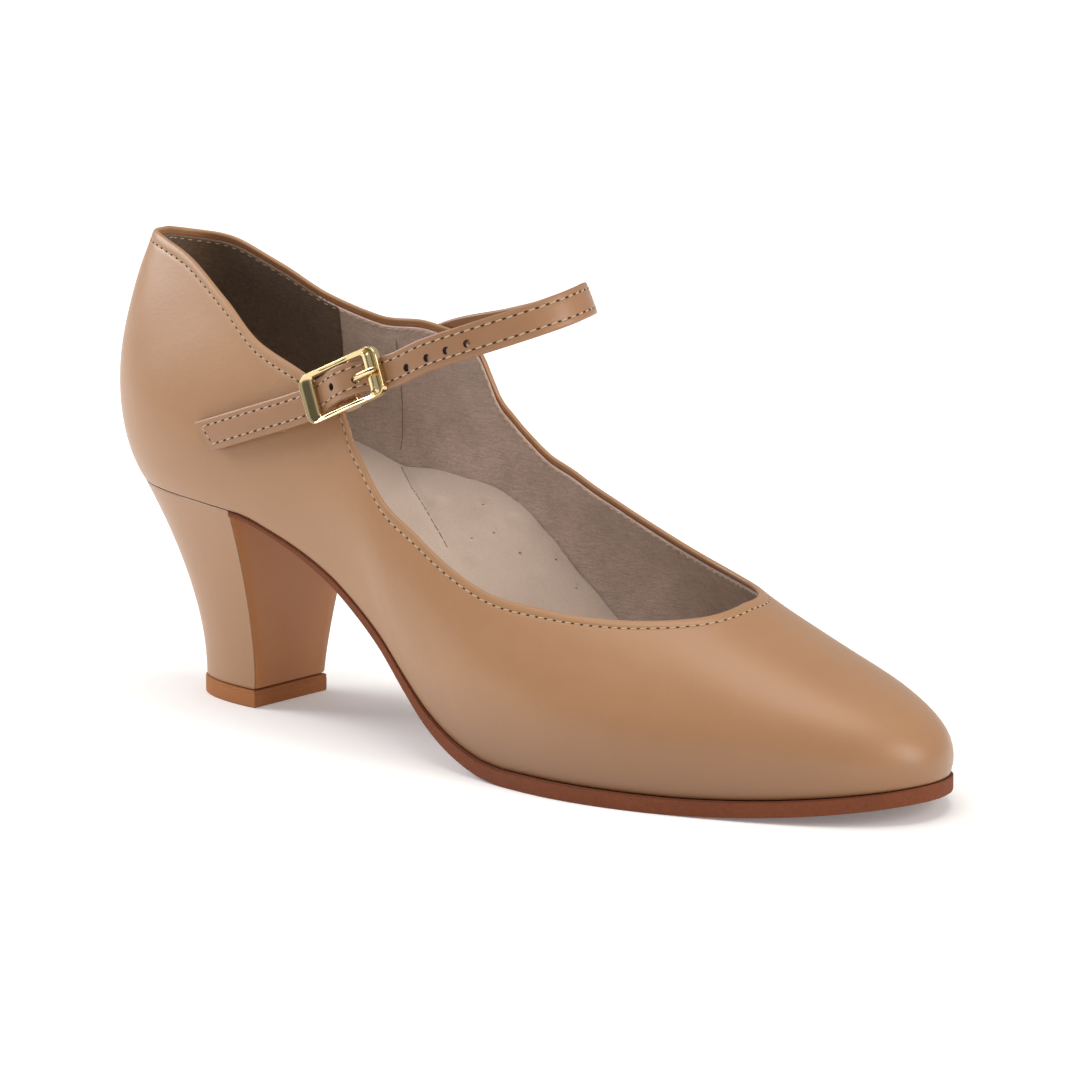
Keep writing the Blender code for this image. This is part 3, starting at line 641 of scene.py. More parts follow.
class Finish:
    # the nodes of a new material, or of the surroundings when they are given
    def __init__(self, name, surroundings=None):
        self.material = surroundings or bpy.data.materials.new(name)
        self.material.use_nodes = True
        self.tree = self.material.node_tree
        self.surface = self.tree.nodes["Background" if surroundings else "Principled BSDF"]
        self.place = self.node("ShaderNodeTexCoord", output="Generated" if surroundings else "Object")

    def feed(self, socket, value):
        if isinstance(value, Wire):
            self.tree.links.new(value.socket, socket)
        elif hasattr(socket.default_value, "__len__") and len(value) == 3 and len(socket.default_value) == 4:
            socket.default_value = (*value, 1.0)
        else:
            socket.default_value = value

    def node(self, kind, settings=None, values=None, output=0):
        item = self.tree.nodes.new(kind)
        for key, value in (settings or {}).items():
            if key == "stops":
                ramp = item.color_ramp.elements
                while len(ramp) < len(value):
                    ramp.new(0.5)
                for stop, (position, colour) in zip(ramp, value):
                    stop.position = position
                    stop.color = (*colour, 1.0)
            else:
                setattr(item, key, value)
        for key, value in (values or {}).items():
            self.feed(item.inputs[key], value)
        return Wire(self, item.outputs[output])

    def noise(self, scale, detail=3.0, roughness=0.55, place=None):
        return self.node(
            "ShaderNodeTexNoise",
            None,
            {"Vector": place or self.place, "Scale": scale, "Detail": detail, "Roughness": roughness},
            "Fac",
        )

    def cells(self, scale):
        return self.node("ShaderNodeTexVoronoi", None, {"Vector": self.place, "Scale": scale}, "Distance")

    def mix(self, share, first, second):
        return self.node("ShaderNodeMix", {"data_type": "RGBA"}, {0: share, 6: first, 7: second}, 2)

    def ramp(self, value, *stops):
        return self.node("ShaderNodeValToRGB", {"stops": stops}, {"Fac": value}, "Color")

    def bump(self, height, strength, distance, normal=None):
        values = {"Height": height, "Strength": strength, "Distance": distance}
        if normal:
            values["Normal"] = normal
        return self.node("ShaderNodeBump", None, values, "Normal")

    def set(self, **values):
        for key, value in values.items():
            words = "".join(" " + letter if letter.isupper() else letter for letter in key).split()
            self.feed(self.surface.inputs[" ".join(word.capitalize() for word in words)], value)
        return self.material


def linear(red, green, blue):
    # screen colour (0-255) to the renderer's linear values
    def one(value):
        value /= 255
        return value / 12.92 if value <= 0.04045 else ((value + 0.055) / 1.055) ** 2.4

    return one(red), one(green), one(blue)


def grey(value):
    return (value, value, value)


leatherLook = dict(
    light=linear(169, 125, 86),
    deep=linear(156, 112, 74),
    pore=linear(116, 76, 46),
    roughness=0.42,
    coat=0.34,
)


def leather(name, light, deep, pore, roughness, coat, grain=1.0, paintedLowShade=0.0):
    finish = Finish(name)
    clouds = finish.noise(28, 4.0, 0.5)
    streaks = finish.noise(210, 3.0, 0.6)
    creases = finish.cells(1150)
    fine = finish.noise(2600, 2.0, 0.5)
    poreMask = finish.ramp(creases, (0.0, grey(1.0)), (0.16, grey(0.2)), (0.42, grey(0.0)))
    tone = finish.mix(clouds * 0.75 + streaks * 0.35 - 0.05, deep, light)
    # painted shade: low down near the sole the colour is pulled towards the darker pore colour
    if paintedLowShade:
        height = finish.node("ShaderNodeSeparateXYZ", None, {"Vector": finish.place}, "Z")
        low = finish.node("ShaderNodeMath", {"operation": "MAXIMUM"}, {0: (0.024 - height) / 0.018, 1: 0.0})
        tone = finish.mix(low * paintedLowShade, tone, pore)
    colour = finish.mix(poreMask * 0.16, tone, pore)
    shine = clouds * 0.10 + streaks * 0.12 + (roughness - 0.11)
    height = creases * 0.6 + fine * 0.35
    bumpCoarse = finish.bump(streaks, 0.10, 0.0006)
    normal = finish.bump(height, 0.10 * grain, 0.00025, bumpCoarse)
    finish.set(baseColor=colour, roughness=shine, normal=normal)
    return finish.set(coatWeight=coat, coatRoughness=0.40)


def nap(name, light, deep, scale, strength, streaks=0.0, sheen=0.25):
    # suede or brushed cloth
    finish = Finish(name)
    clouds = finish.noise(45, 4.0, 0.6)
    fibre = finish.noise(scale, 5.0, 0.75)
    speckle = finish.noise(scale * 3.1, 2.0, 0.6)
    height = fibre * 0.7 + speckle * 0.5
    share = clouds * 0.7 + fibre * 0.9 - 0.3
    if streaks:
        placed = {"Vector": finish.place, "Rotation": (0.2, 0.5, 0.1), "Scale": (1.0, 1.0, 4.0)}
        stretched = finish.node("ShaderNodeMapping", None, placed)
        brushed = finish.noise(420, 4.0, 0.7, stretched)
        clumps = finish.noise(150, 5.0, 0.7)
        height = height + brushed * 0.8
        share = share + (brushed - 0.5) * streaks + (clumps - 0.5) * streaks * 0.8
    colour = finish.mix(share, deep, light)
    normal = finish.bump(height, strength, 0.0005)
    finish.set(baseColor=colour, roughness=0.92, normal=normal)
    return finish.set(sheenWeight=sheen, sheenRoughness=0.5)


def brassFinish(name, colour, roughness):
    finish = Finish(name)
    smear = finish.noise(420, 3.0, 0.6)
    wear = finish.noise(60, 2.0, 0.5)
    shade = finish.mix(wear * 0.5, colour, tuple(c * 0.82 for c in colour))
    normal = finish.bump(smear, 0.05, 0.0002)
    return finish.set(baseColor=shade, metallic=1.0, roughness=smear * 0.10 + roughness, normal=normal)


def threadFinish(name, light, deep):
    finish = Finish(name)
    twist = finish.noise(3600, 2.0, 0.5)
    colour = finish.mix(twist, deep, light)
    return finish.set(baseColor=colour, roughness=0.7, normal=finish.bump(twist, 0.3, 0.0001))


def plainFinish(name, colour, roughness):
    finish = Finish(name)
    shade = finish.mix(finish.noise(900, 2.0, 0.5), colour, tuple(c * 0.6 for c in colour))
    return finish.set(baseColor=shade, roughness=roughness)


# the upper's leather carries painted shade low down near the sole
upperLeather = leather("upper_leather", paintedLowShade=0.62, **leatherLook)
heelLeather = leather("heel_leather", **leatherLook)
strapLeather = leather(
    "strap_leather",
    light=linear(160, 117, 82),
    deep=linear(142, 100, 67),
    pore=linear(118, 78, 50),
    roughness=0.42,
    coat=0.24,
)
breastLeather = leather(
    "breast_leather",
    light=linear(186, 122, 66),
    deep=linear(168, 105, 52),
    pore=linear(112, 68, 42),
    roughness=0.50,
    coat=0.10,
)
soleSuede = nap("sole_suede", linear(130, 70, 38), linear(98, 47, 23), 900, 0.5, sheen=0.0)
liftSuede = nap("lift_suede", linear(178, 116, 68), linear(152, 93, 52), 1200, 0.45, sheen=0.0)
heelSuede = nap("heel_lining_suede", linear(124, 97, 68), linear(56, 40, 25), 1100, 0.8, streaks=0.5)
quarterKnit = nap("quarter_lining_knit", linear(228, 203, 187), linear(158, 134, 121), 1500, 0.8, streaks=0.8)
# painted shade: the darker colour of the seam beads and of the spots on the pinhole floors
seamShade = plainFinish("seam_shade", linear(150, 128, 114), 0.9)
sockLeather = nap("sock_brushed", linear(206, 187, 173), linear(172, 151, 137), 1700, 0.35)
brass = brassFinish("polished_brass", (0.76, 0.60, 0.32), 0.05)
thread = threadFinish("beige_thread", linear(206, 182, 154), linear(170, 141, 112))
# painted shade: the dark colour standing in for the depth of the needle holes and punched holes
needleHoleShade = plainFinish("needle_hole_shade", linear(58, 33, 20), 0.9)
rawEdge = plainFinish("raw_leather_edge", linear(150, 84, 52), 0.85)
rawFibre = plainFinish("raw_fibre", linear(206, 124, 66), 0.9)
print("finishes ready")

# soft troughs and ridges: corners in millimetres, width and depth in millimetres
upperCreases = [
    dict(corners=[(112, -37, 40), (124, -38, 30)], width=6.0, depth=0.25),
    dict(corners=[(150, -38, 14), (162, -34, 24), (170, -27, 31)], width=3.6, depth=0.16),
    dict(corners=[(166, -38, 12), (176, -32, 20), (184, -24, 26)], width=3.2, depth=0.18),
    dict(corners=[(158, -36, 18), (167, -30, 27)], width=2.6, depth=-0.10),
    dict(corners=[(182, -32, 12), (190, -25, 19), (196, -14, 24)], width=3.4, depth=0.12),
]

upperPiece = dict(
    stations=480,
    nearRows=(0.35, 0.8, 1.3, 1.8, 2.15, 2.4, 2.6, 2.8, 3.05, 3.5, 4.3, 5.5),
    bodyRows=30,
    footRows=(1.1, 0.7, 0.3, 0.0),
    lastRow=1.6,
    foldRadius=0.60,
    lipRows=(0.3, 0.6, 0.9, 1.2),
    lipLength=1.5,
    backDepth=1.1,
    grooveBelow=2.6,
    grooveDepth=0.16,
    grooveWidth=0.30,
    padding=0.10,
    paddingBelow=1.3,
    paddingWidth=0.8,
    tuck=0.20,
    tuckReach=1.3,
    ripple=0.07,
    seatClearance=0.2,
    backClearance=0.3,
)


def upperMesh(size):
    w = np.linspace(0, 2, size["stations"], endpoint=False)
    total = rowLengths(w)[1][:, -1]
    near = np.array(size["nearRows"]) * mm
    foot = np.array(size["footRows"]) * mm
    body = np.linspace(0, 1, size["bodyRows"] + 2)[1:-1]
    last = total - size["lastRow"] * mm
    upperRows = np.repeat(near[None, :], len(w), axis=0)
    middleRows = near[-1] + (last - near[-1])[:, None] * body
    distances = np.concatenate([upperRows, middleRows, total[:, None] - foot], axis=1)
    v = sharesBelowEdge(w, distances)
    spread = np.repeat(w[:, None], v.shape[1], axis=1)
    normals = wallNormal(spread, v)
    outer = wallSurface(spread, v)
    below = distances / mm
    lift = -size["grooveDepth"] * bell(below - size["grooveBelow"], size["grooveWidth"])
    lift += size["padding"] * bell(below - size["paddingBelow"], size["paddingWidth"])
    foothold = (total[:, None] - distances) / mm
    lift -= size["tuck"] * np.clip(1 - foothold / size["tuckReach"], 0, 1) ** 2
    for crease in upperCreases:
        reach = nearPolyline(outer, np.array(crease["corners"]) * mm) / mm
        lift -= crease["depth"] * bell(reach, crease["width"])
    x, y, z = (outer[..., k] * 1000 for k in range(3))
    # faint uneven ripples in the pulled leather
    wave = np.sin(x * 0.115 + z * 0.09 + 0.7) * np.sin(z * 0.14 - y * 0.06 + 1.3)
    wave += 0.6 * np.sin(x * 0.21 - z * 0.17 + 2.1) * np.sin(y * 0.16 + z * 0.05)
    lift += size["ripple"] * wave * smoothStep(below, 4, 14) * smoothStep(foothold, 1, 9)
    outer = outer + normals * (lift * mm)[..., None]
    outer[:, -1, 2] = np.maximum(outer[:, -1, 2], seatHeight(outer[:, -1, 0]) + size["seatClearance"] * mm)
    # the folded edge rolls over the top and ends in a lip inside
    radius = size["foldRadius"] * mm
    outward = normals[:, 0]
    rise = unit(outer[:, 0] - outer[:, 1])
    centre = outer[:, 0] - outward * radius
    roll = []
    for turn in turns(20, 45, 68, 90, 112, 135, 160):
        roll.append(centre - outward * radius * cos(turn) + rise * radius * sin(turn))
    roll = np.stack(roll, axis=1)
    lipRows = np.array([*size["lipRows"], size["lipLength"]]) * mm
    lip = wallPoints(w, np.repeat(lipRows[None, :], len(w), axis=0), 2 * radius)
    firstBack = (size["lipLength"] + 1.0) * mm
    nearBack = np.repeat(np.array([[size["lipLength"] + 0.1, size["lipLength"] + 1.0]]) * mm, len(w), axis=0)
    farBack = firstBack + (total - firstBack)[:, None] * np.linspace(0.15, 1, 7)
    back = wallPoints(w, np.concatenate([nearBack, farBack], axis=1), size["backDepth"] * mm)
    back[:, -1, 2] = seatHeight(back[:, -1, 0]) + size["backClearance"] * mm
    return np.concatenate([back[:, ::-1], lip[:, ::-1], roll, outer], axis=1)


makePiece("upper_shell", *ringBody(upperMesh(upperPiece), True), upperLeather, ["upper"], "upper")


liningPiece = dict(
    seam=0.268,
    overlap=0.02,
    quarterStations=360,
    heelStations=150,
    quarterDepth=1.95,
    heelDepth=2.12,
    backDepth=1.25,
    topBelow=1.55,
    footGap=0.6,
    slant=0.12,
    ridgeRoute=[(61, 26, 92), (60, 29, 70), (60, 28, 56)],
    ridgeHeight=0.18,
    ridgeWidth=0.5,
    seamRoute=[(61, 20, 86), (60, 22, 70), (60, 20, 60)],
    seamPitch=1.1,
    seamHalf=(0.75, 0.13, 0.12),
    seamProud=0.05,
)


def liningStrip(size, w, slide, frontDepth):
    # a closed band of lining inside the leather; slide moves its ends back lower down
    def row(lower, share, depth):
        at = slide(w, share)
        total = rowLengths(at)[1][:, -1]
        below = size["topBelow"] + lower
        reach = below * mm + (total - (size["footGap"] + below) * mm) * share
        return wallPoints(at, reach[:, None], depth * mm)[:, 0]

    rows = [row(0, 0.0, frontDepth - 0.15), row(0.12, 0.0, frontDepth), row(0.5, 0.0, frontDepth)]
    rows += [row(1.0, share, frontDepth) for share in np.linspace(0, 1, 26)]
    rows += [row(1.0, share, size["backDepth"]) for share in np.linspace(1, 0, 7)]
    rows.append(row(0, 0.0, size["backDepth"]))
    return np.stack(rows, axis=1)


def quarterLining(size):
    start = size["seam"] - size["overlap"]
    growth = size["seam"] * size["slant"] / (1 - start)
    w = np.linspace(start, 2 - start, size["quarterStations"])
    band = liningStrip(size, w, lambda w, share: 1 + (w - 1) * (1 + growth * share), size["quarterDepth"])
    reach = nearPolyline(band, np.array(size["ridgeRoute"]) * mm) / mm
    band[..., 1] += size["ridgeHeight"] * mm * bell(reach, size["ridgeWidth"])
    return band


def heelLining(size):
    w = np.linspace(-size["seam"], size["seam"], size["heelStations"])
    return liningStrip(size, w, lambda w, share: w * (1 - size["slant"] * share), size["heelDepth"])


points, faces = ringBody(quarterLining(liningPiece), False)
makePiece("quarter_lining", points, faces, quarterKnit, ["upper"], "upper")


def quarterSeam(size):
    # the faint upright seam of the medial lining
    surface = BVHTree.FromPolygons([Vector(point) for point in points], faces)
    route = np.array(size["seamRoute"]) * mm
    lengths, places, directions = samplePath(route, size["seamPitch"] * mm)
    hits = [surface.find_nearest(Vector(place)) for place in places]
    onWall = np.array([hit[0] for hit in hits])
    facing = unit(onWall - places)
    return beads(onWall - facing * size["seamProud"] * mm, directions, -facing, size["seamHalf"])


makePiece("quarter_seam", *quarterSeam(liningPiece), seamShade, ["upper"], "upper")

makePiece("heel_lining", *ringBody(heelLining(liningPiece), False), heelSuede, ["upper"], "upper")

stitchPiece = dict(
    below=2.6,
    pitch=2.3,
    half=(0.72, 0.20, 0.17),
    sunk=0.10,
    tilt=0.10,
    holeHalf=(0.36, 0.28, 0.10),
    holeSunk=0.04,
    liningBelow=2.15,
    liningPitch=2.3,
    liningHalf=(0.6, 0.17, 0.14),
    liningProud=0.12,
)


def toplinePath(below, depth):
    w = np.linspace(0.0, 2.0, 1400)
    return w, wallPoints(w, np.full((len(w), 1), below * mm), depth * mm)[:, 0]


def toplineSteps(below, depth, pitch):
    # places, directions and normals of even steps along the topline
    w, path = toplinePath(below, depth)
    lengths, places, directions = samplePath(path, pitch * mm)
    at = np.interp(lengths, lengthsAlong(path), w)
    v = sharesBelowEdge(at, np.full((len(at), 1), below * mm))[:, 0]
    return places, directions, wallNormal(at, v)


def stitchedTopline(size):
    places, directions, normals = toplineSteps(size["below"], size["sunk"], size["pitch"])
    # the dark beads between the stitches are painted shade for the needle holes
    holePlaces = places + directions * size["pitch"] / 2 * mm - normals * size["holeSunk"] * mm
    threads = beads(places, directions, normals, size["half"], size["tilt"])
    return threads, beads(holePlaces, directions, normals, size["holeHalf"])


def stitchedLining(size):
    depth = liningPiece["quarterDepth"] + size["liningProud"]
    steps = toplineSteps(size["liningBelow"], depth, size["liningPitch"])
    return beads(*steps, size["liningHalf"], -size["tilt"])


threads, punctures = stitchedTopline(stitchPiece)
makePiece("topline_stitches", *threads, thread, ["upper"], "upper")
makePiece("topline_needle_holes", *punctures, needleHoleShade, ["upper"], "upper")
makePiece("lining_stitches", *stitchedLining(stitchPiece), thread, ["upper"], "upper")

rawEdgePiece = dict(halfWidth=0.22, halfHeight=0.16, sides=6, every=4, clear=0.02)


def rawEdgeRing(size):
    # the raw line under the leather lip inside
    below = upperPiece["lipLength"]
    w, path = toplinePath(below + size["clear"], 2 * upperPiece["foldRadius"] + size["clear"])
    normals = wallNormal(w, sharesBelowEdge(w, np.full((len(w), 1), below * mm))[:, 0])
    directions = unit(np.roll(path, -1, axis=0) - np.roll(path, 1, axis=0))
    across = np.cross(normals, directions) * size["halfWidth"] * mm
    out = normals * size["halfHeight"] * mm
    corners = turns(*range(0, 360, 360 // size["sides"]))
    ring = [path + across * cos(turn) + out * sin(turn) for turn in corners]
    return np.stack(ring, axis=1)[:: size["every"]]


makePiece("lip_raw_edge", *ringBody(rawEdgeRing(rawEdgePiece), True), rawEdge, ["upper"], "upper")
print("upper ready")


def edgeCurves(t, offset):
    sides = []
    for w in (t, 2 - t):
        outward = tangentAndOutward(feather, w)[1]
        sides.append((feather(w) + outward * offset)[:, :2])
    return sides


def innerWall(w, v):
    return wallSurface(w, v) - wallNormal(w, v) * wall


sockPiece = dict(
    stations=300,
    columns=84,
    seam=[
        (61.8, 22.8, 56.3),
        (70.3, 16.9, 53.3),
        (77.3, 13.4, 50.2),
        (82.9, 10.7, 47.0),
        (90.1, 7.8, 42.2),
    ],
    seamWidth=0.75,
    seamDepth=0.50,
    seamPitch=1.3,
    seamHalf=(0.80, 0.15, 0.12),
    pinholes=[
        (89.0, 21.5, 50.8),
        (92.1, 13.9, 44.4),
        (95.1, 18.4, 45.3),
        (101.9, 20.1, 41.1),
        (107.9, 26.3, 39.5),
        (114.3, 26.2, 33.8),
    ],
    pinWidth=0.80,
    pinDepth=0.60,
    pinHalf=(0.34, 0.30, 0.12),
    bumps=[(79.7, 15.9, 50.6), (97.4, 23.5, 47.6), (95.6, 10.6, 40.1), (107.5, 20.5, 35.9)],
    bumpWidth=1.6,
    bumpHeight=0.75,
    baseEvery=6,
    edgeTurn=0.25,
    unevenness=0.10,
)


def sockMesh(size):
    t = np.linspace(0.022, 0.980, size["stations"])
    lateral, medial = edgeCurves(t, -np.full((len(t), 1), wall + gap))
    climb = archShare(t)
    crest = innerWall(2 - t, climb) - tangentAndOutward(feather, 2 - t)[1] * 2 * gap
    share = (1 - np.cos(pi * np.linspace(0, 1, size["columns"])))[:, None] / 2
    bend = np.clip((share - archStart) / (1 - archStart), 0, 1) ** archBend
    sections = []
    for i in range(len(t)):
        line = lateral[i] * (1 - share) + medial[i] * share
        base = np.column_stack([line, seatHeight(line[:, 0]) + gap])
        top = base + np.array([0, 0, insoleThickness])
        if crest[i][2] > top[-1][2]:
            top = top + (crest[i] - top[-1]) * bend
        sections.append((top, base[:: size["baseEvery"]]))
    tops = np.stack([top for top, base in sections])
    lift = np.zeros(tops.shape[:2])
    reach = nearPolyline(tops, np.array(size["seam"]) * mm) / mm
    lift -= size["seamDepth"] * bell(reach, size["seamWidth"])
    for spot in size["pinholes"]:
        reach = np.linalg.norm(tops - np.array(spot) * mm, axis=-1) / mm
        lift -= size["pinDepth"] * (bell(reach, size["pinWidth"]) - 0.3 * bell(reach - 1.5, 0.9))
    for spot in size["bumps"]:
        reach = np.linalg.norm(tops - np.array(spot) * mm, axis=-1) / mm
        lift += size["bumpHeight"] * bell(reach, size["bumpWidth"])
    x, y = tops[..., 0] * 1000, tops[..., 1] * 1000
    lift += size["unevenness"] * np.sin(x * 0.16 + 0.5) * np.sin(y * 0.22 + x * 0.05)
    lift[:, [0, -1]] -= size["edgeTurn"]
    tops[..., 2] += lift * mm
    bases = np.stack([base for top, base in sections])
    return np.concatenate([tops, bases[:, ::-1]], axis=1)


points, faces = ringBody(sockMesh(sockPiece), False)
makePiece("sock", points, faces, sockLeather, ["insole"], "insole", sharp=50)
sockTree = BVHTree.FromPolygons([Vector(point) for point in points], faces)


def onSock(places):
    down = Vector((0, 0, -1))
    return np.array([sockTree.ray_cast(Vector(place) - down * 0.006, down)[0] for place in places])


def sockMarks(size):
    # the seam's thread beads in a darker colour that paints the groove's shade, and dark spots of painted
    # shade on the floors of the pinholes
    lengths, places, directions = samplePath(np.array(size["seam"]) * mm, size["seamPitch"] * mm)
    up = np.repeat([[0.0, 0.0, 1.0]], len(places), axis=0)
    line = beads(onSock(places), directions, up, size["seamHalf"])
    spots = onSock(np.array(size["pinholes"]) * mm)
    ahead = np.repeat([[1.0, 0.0, 0.0]], len(spots), axis=0)
    up = np.repeat([[0.0, 0.0, 1.0]], len(spots), axis=0)
    return mergeShapes([line, beads(spots, ahead, up, size["pinHalf"])])


makePiece("sock_seam", *sockMarks(sockPiece), seamShade, ["insole"], "insole")

outsolePiece = dict(stations=170, inset=0.40, groove=0.16, easing=0.45, lip=0.12, waist=1.25)


def outsoleMesh(size):
    start = float(station((seatBreast + gap - seatBack) / featherLength))
    t = np.concatenate([[start], np.linspace(start + 0.006, 0.984, size["stations"])])
    margin = waistMargin + (soleMargin - waistMargin) * smoothStep(t, 0.42, 0.60)
    margin = margin + (toeMargin - soleMargin) * smoothStep(t, 0.78, 1.0)
    lateral, medial = edgeCurves(t, margin[:, None])
    lateral[0][0] = seatBreast + gap
    medial[0][0] = seatBreast + gap
    waist, easing = size["waist"] * mm, size["easing"] * mm
    along = (lateral[:, 0] - seatBack) / featherLength
    depth = waist + (soleThickness - waist) * smoothStep(along, waistStart, waistEnd)
    sections = []
    for i in range(len(t)):
        span = np.linalg.norm(medial[i] - lateral[i])
        inset = min(size["inset"] * mm, span * 0.2) / span
        ease = min(easing, span * 0.25) / span
        corner = [(ease * (1 - cos(turn)), easing * (1 - sin(turn))) for turn in turns(90, 60, 30, 0)]
        inner = np.linspace(0.06, 0.94, 9)
        groove, lip = -size["groove"] * mm, -(size["groove"] + size["lip"]) * mm
        section = [(share, 0.0) for share in (inset, *inner, 1 - inset)]
        section += [(1 - inset, groove), (1.0, lip)]
        section += [(1 - share, up - depth[i]) for share, up in corner[::-1]]
        section += [(share, -depth[i]) for share in inner[::-1]]
        section += [(share, up - depth[i]) for share, up in corner]
        section += [(0.0, lip), (inset, groove)]
        row = []
        for share, down in section:
            plan = lateral[i] * (1 - share) + medial[i] * share
            row.append((*plan, float(seatHeight(plan[0])) + down))
        sections.append(row)
    return np.array(sections)


makePiece("sole", *ringBody(outsoleMesh(outsolePiece), False), soleSuede, ["outsole"], "outsole", sharp=40)


heelPiece = dict(
    levels=46,
    arcPoints=73,
    breastPoints=14,
    easings=(0.25, 0.075, 0.025, 0.125),
    panelInset=0.5,
    panelRise=0.30,
    panelDepth=0.3,
)


def heelArc(turn, level):
    breastStation = station((seatBreast - seatBack) / featherLength)
    w = np.where(turn < 0, np.abs(turn) * breastStation, 2 - np.abs(turn) * breastStation)
    seat = feather(w)
    share = np.abs(turn)
    baseX = baseBack + (baseBreast - baseBack) * (1 - np.cos(pi / 2 * share))
    baseY = np.sign(turn) * baseHalfWidth * np.sin(pi / 2 * share) ** baseSquareness
    sweep = backSweep * (1 - share) + breastSweep * share
    x = baseX + (seat[:, 0] - baseX) * level**sweep
    y = baseY + (seat[:, 1] - baseY) * level**sideSweep
    return x, y, seat[:, 0]


def heelRing(level, low, inset=0.0):
    turn = np.linspace(-1, 1, heelPiece["arcPoints"])
    x, y, seatX = heelArc(turn, level)
    top = seatHeight(seatX)
    arc = np.column_stack([x, y, low + (top - low) * level])
    middle = np.array([x.mean(), 0, 0])
    arc[:, :2] += (middle - arc)[:, :2] * (inset / baseHalfWidth)
    share = np.linspace(0, 1, heelPiece["breastPoints"] + 2)[1:-1, None]
    return np.concatenate([arc, arc[-1] * (1 - share) + arc[0] * share])


low = liftHeight + gap


def heelCover(size):
    levels = [0, 0.006, 0.014, *np.linspace(0.03, 0.975, size["levels"]), 0.988, 0.996, 1.0]
    easings = np.zeros(len(levels))
    easings[[0, 1, -2, -1]] = size["easings"]
    return np.array([heelRing(level, low, ease * mm) for level, ease in zip(levels, easings)])


makePiece("heel_cover", *ringBody(heelCover(heelPiece), False), heelLeather, ["heel"], "heel", sharp=42)


def breastPanel(size):
    # a thin facing over the flat front of the heel
    sections = []
    for level in np.linspace(0.004, 0.990, 50):
        x, y, seatX = heelArc(np.array([-1.0, 1.0]), level)
        z = low + (seatHeight(seatX) - low) * level
        ends = np.column_stack([x, y, z])
        span = np.linalg.norm(ends[1] - ends[0])
        inset = size["panelInset"] * mm / span
        row = []
        for share in [inset, inset * 1.8, *np.linspace(0.1, 0.9, 9), 1 - inset * 1.8, 1 - inset]:
            easing = 0.4 if share in (inset, 1 - inset) else 1.0
            point = ends[0] * (1 - share) + ends[1] * share
            row.append(point + np.array([size["panelRise"] * mm * easing, 0, 0]))
        for share in np.linspace(1 - inset, inset, 7):
            row.append(ends[0] * (1 - share) + ends[1] * share - np.array([size["panelDepth"] * mm, 0, 0]))
        sections.append(row)
    return np.array(sections)


makePiece("heel_breast", *ringBody(breastPanel(heelPiece), False), breastLeather, ["heel"], "heel", sharp=50)

liftRing = heelRing(0.0, liftHeight)
liftCentre = np.array([(baseBack + baseBreast) / 2, 0, 0])
liftPiece = dict(rounding=0.25, line=0.12)
liftRows = [
    (0.0, liftPiece["rounding"]),
    (0.2, 0.05),
    (0.6, 0.0),
    (2.2, 0.0),
    (3.3, 0.0),
    (3.5, liftPiece["line"]),
    (3.7, 0.0),
    (4.0, 0.05),
    (4.2, liftPiece["rounding"]),
]
rings = []
for height, inset in liftRows:
    grown = liftCentre + (liftRing - liftCentre) * (1 + (liftMargin - inset * mm) / baseHalfWidth)
    grown[:, 2] = height * mm * liftHeight / 0.0042
    rings.append(grown)
makePiece("top_lift_cover", *ringBody(np.array(rings), False), liftSuede, ["top_lift"], "top_lift", sharp=50)
print("bottom ready")


def loopStations():
    lateral = np.concatenate(
        [np.linspace(0, 0.37, 19)[:-1], np.linspace(0.37, 0.45, 15)[:-1], np.linspace(0.45, 1, 26)]
    )
    return np.concatenate([lateral, 2 - lateral[-2:0:-1]])


def outerFaceTree():
    w = loopStations()
    grid = np.stack([wallSurface(w, np.full_like(w, level)) for level in np.linspace(0, 1, 15)], axis=1)
    rows, columns = grid.shape[:2]
    return BVHTree.FromPolygons(
        [Vector(point) for point in grid.reshape(-1, 3)], gridFaces(rows, columns, True, False)
    )


outerTree = outerFaceTree()


def quarterPoint(x, z, side):
    start = Vector((x, side * 2 * ballHalfWidth, z))
    hit = outerTree.ray_cast(start, Vector((0, -side, 0)))[0]
    return hit if hit else outerTree.find_nearest(start)[0]


def buckleAxes():
    backStep = buckleTouch * frameLength
    seatX = buckleForward - backStep
    seatZ = buckleHeight - backStep * tan(bucklePitch) - buckleSag * strapWidth
    seat = quarterPoint(seatX, seatZ, -1)
    along = Vector((cos(bucklePitch), buckleTurn, sin(bucklePitch))).normalized()
    down = Vector((sin(bucklePitch), -buckleTip, -cos(bucklePitch)))
    down = (down - along * down.dot(along)).normalized()
    out = along.cross(down).normalized()
    if out.y > 0:
        out = -out
    origin = Vector((buckleForward, 0, buckleHeight))
    depth = (seat - origin).dot(out) / out.y
    return origin + Vector((0, depth, 0)), along, down, out


axes = buckleAxes()
barRadius = barDiameter / 2
loopRadius = barRadius + gap + chapeThickness
barHeight = loopRadius + gap
chapeTop = gap + 2 * chapeThickness
restHeight = chapeTop + strapLift + strapThickness / 2
crestHeight = barHeight + loopRadius + 2 * gap + strapThickness / 2
frameUnder = restHeight + strapThickness / 2 + gap
frameTop = frameUnder + frameDepth
prongHeight = frameTop + gap + prongThickness / 2
openingWidth = strapWidth + 2 * sidePlay
openingRear = -frameLength / 2 + frameRearBar
openingFront = frameLength / 2 - frameFrontBar


def strapHeight(distance):
    wave = smoothStep(np.abs(distance), 0.0, -openingRear)
    return crestHeight + (restHeight - crestHeight) * wave


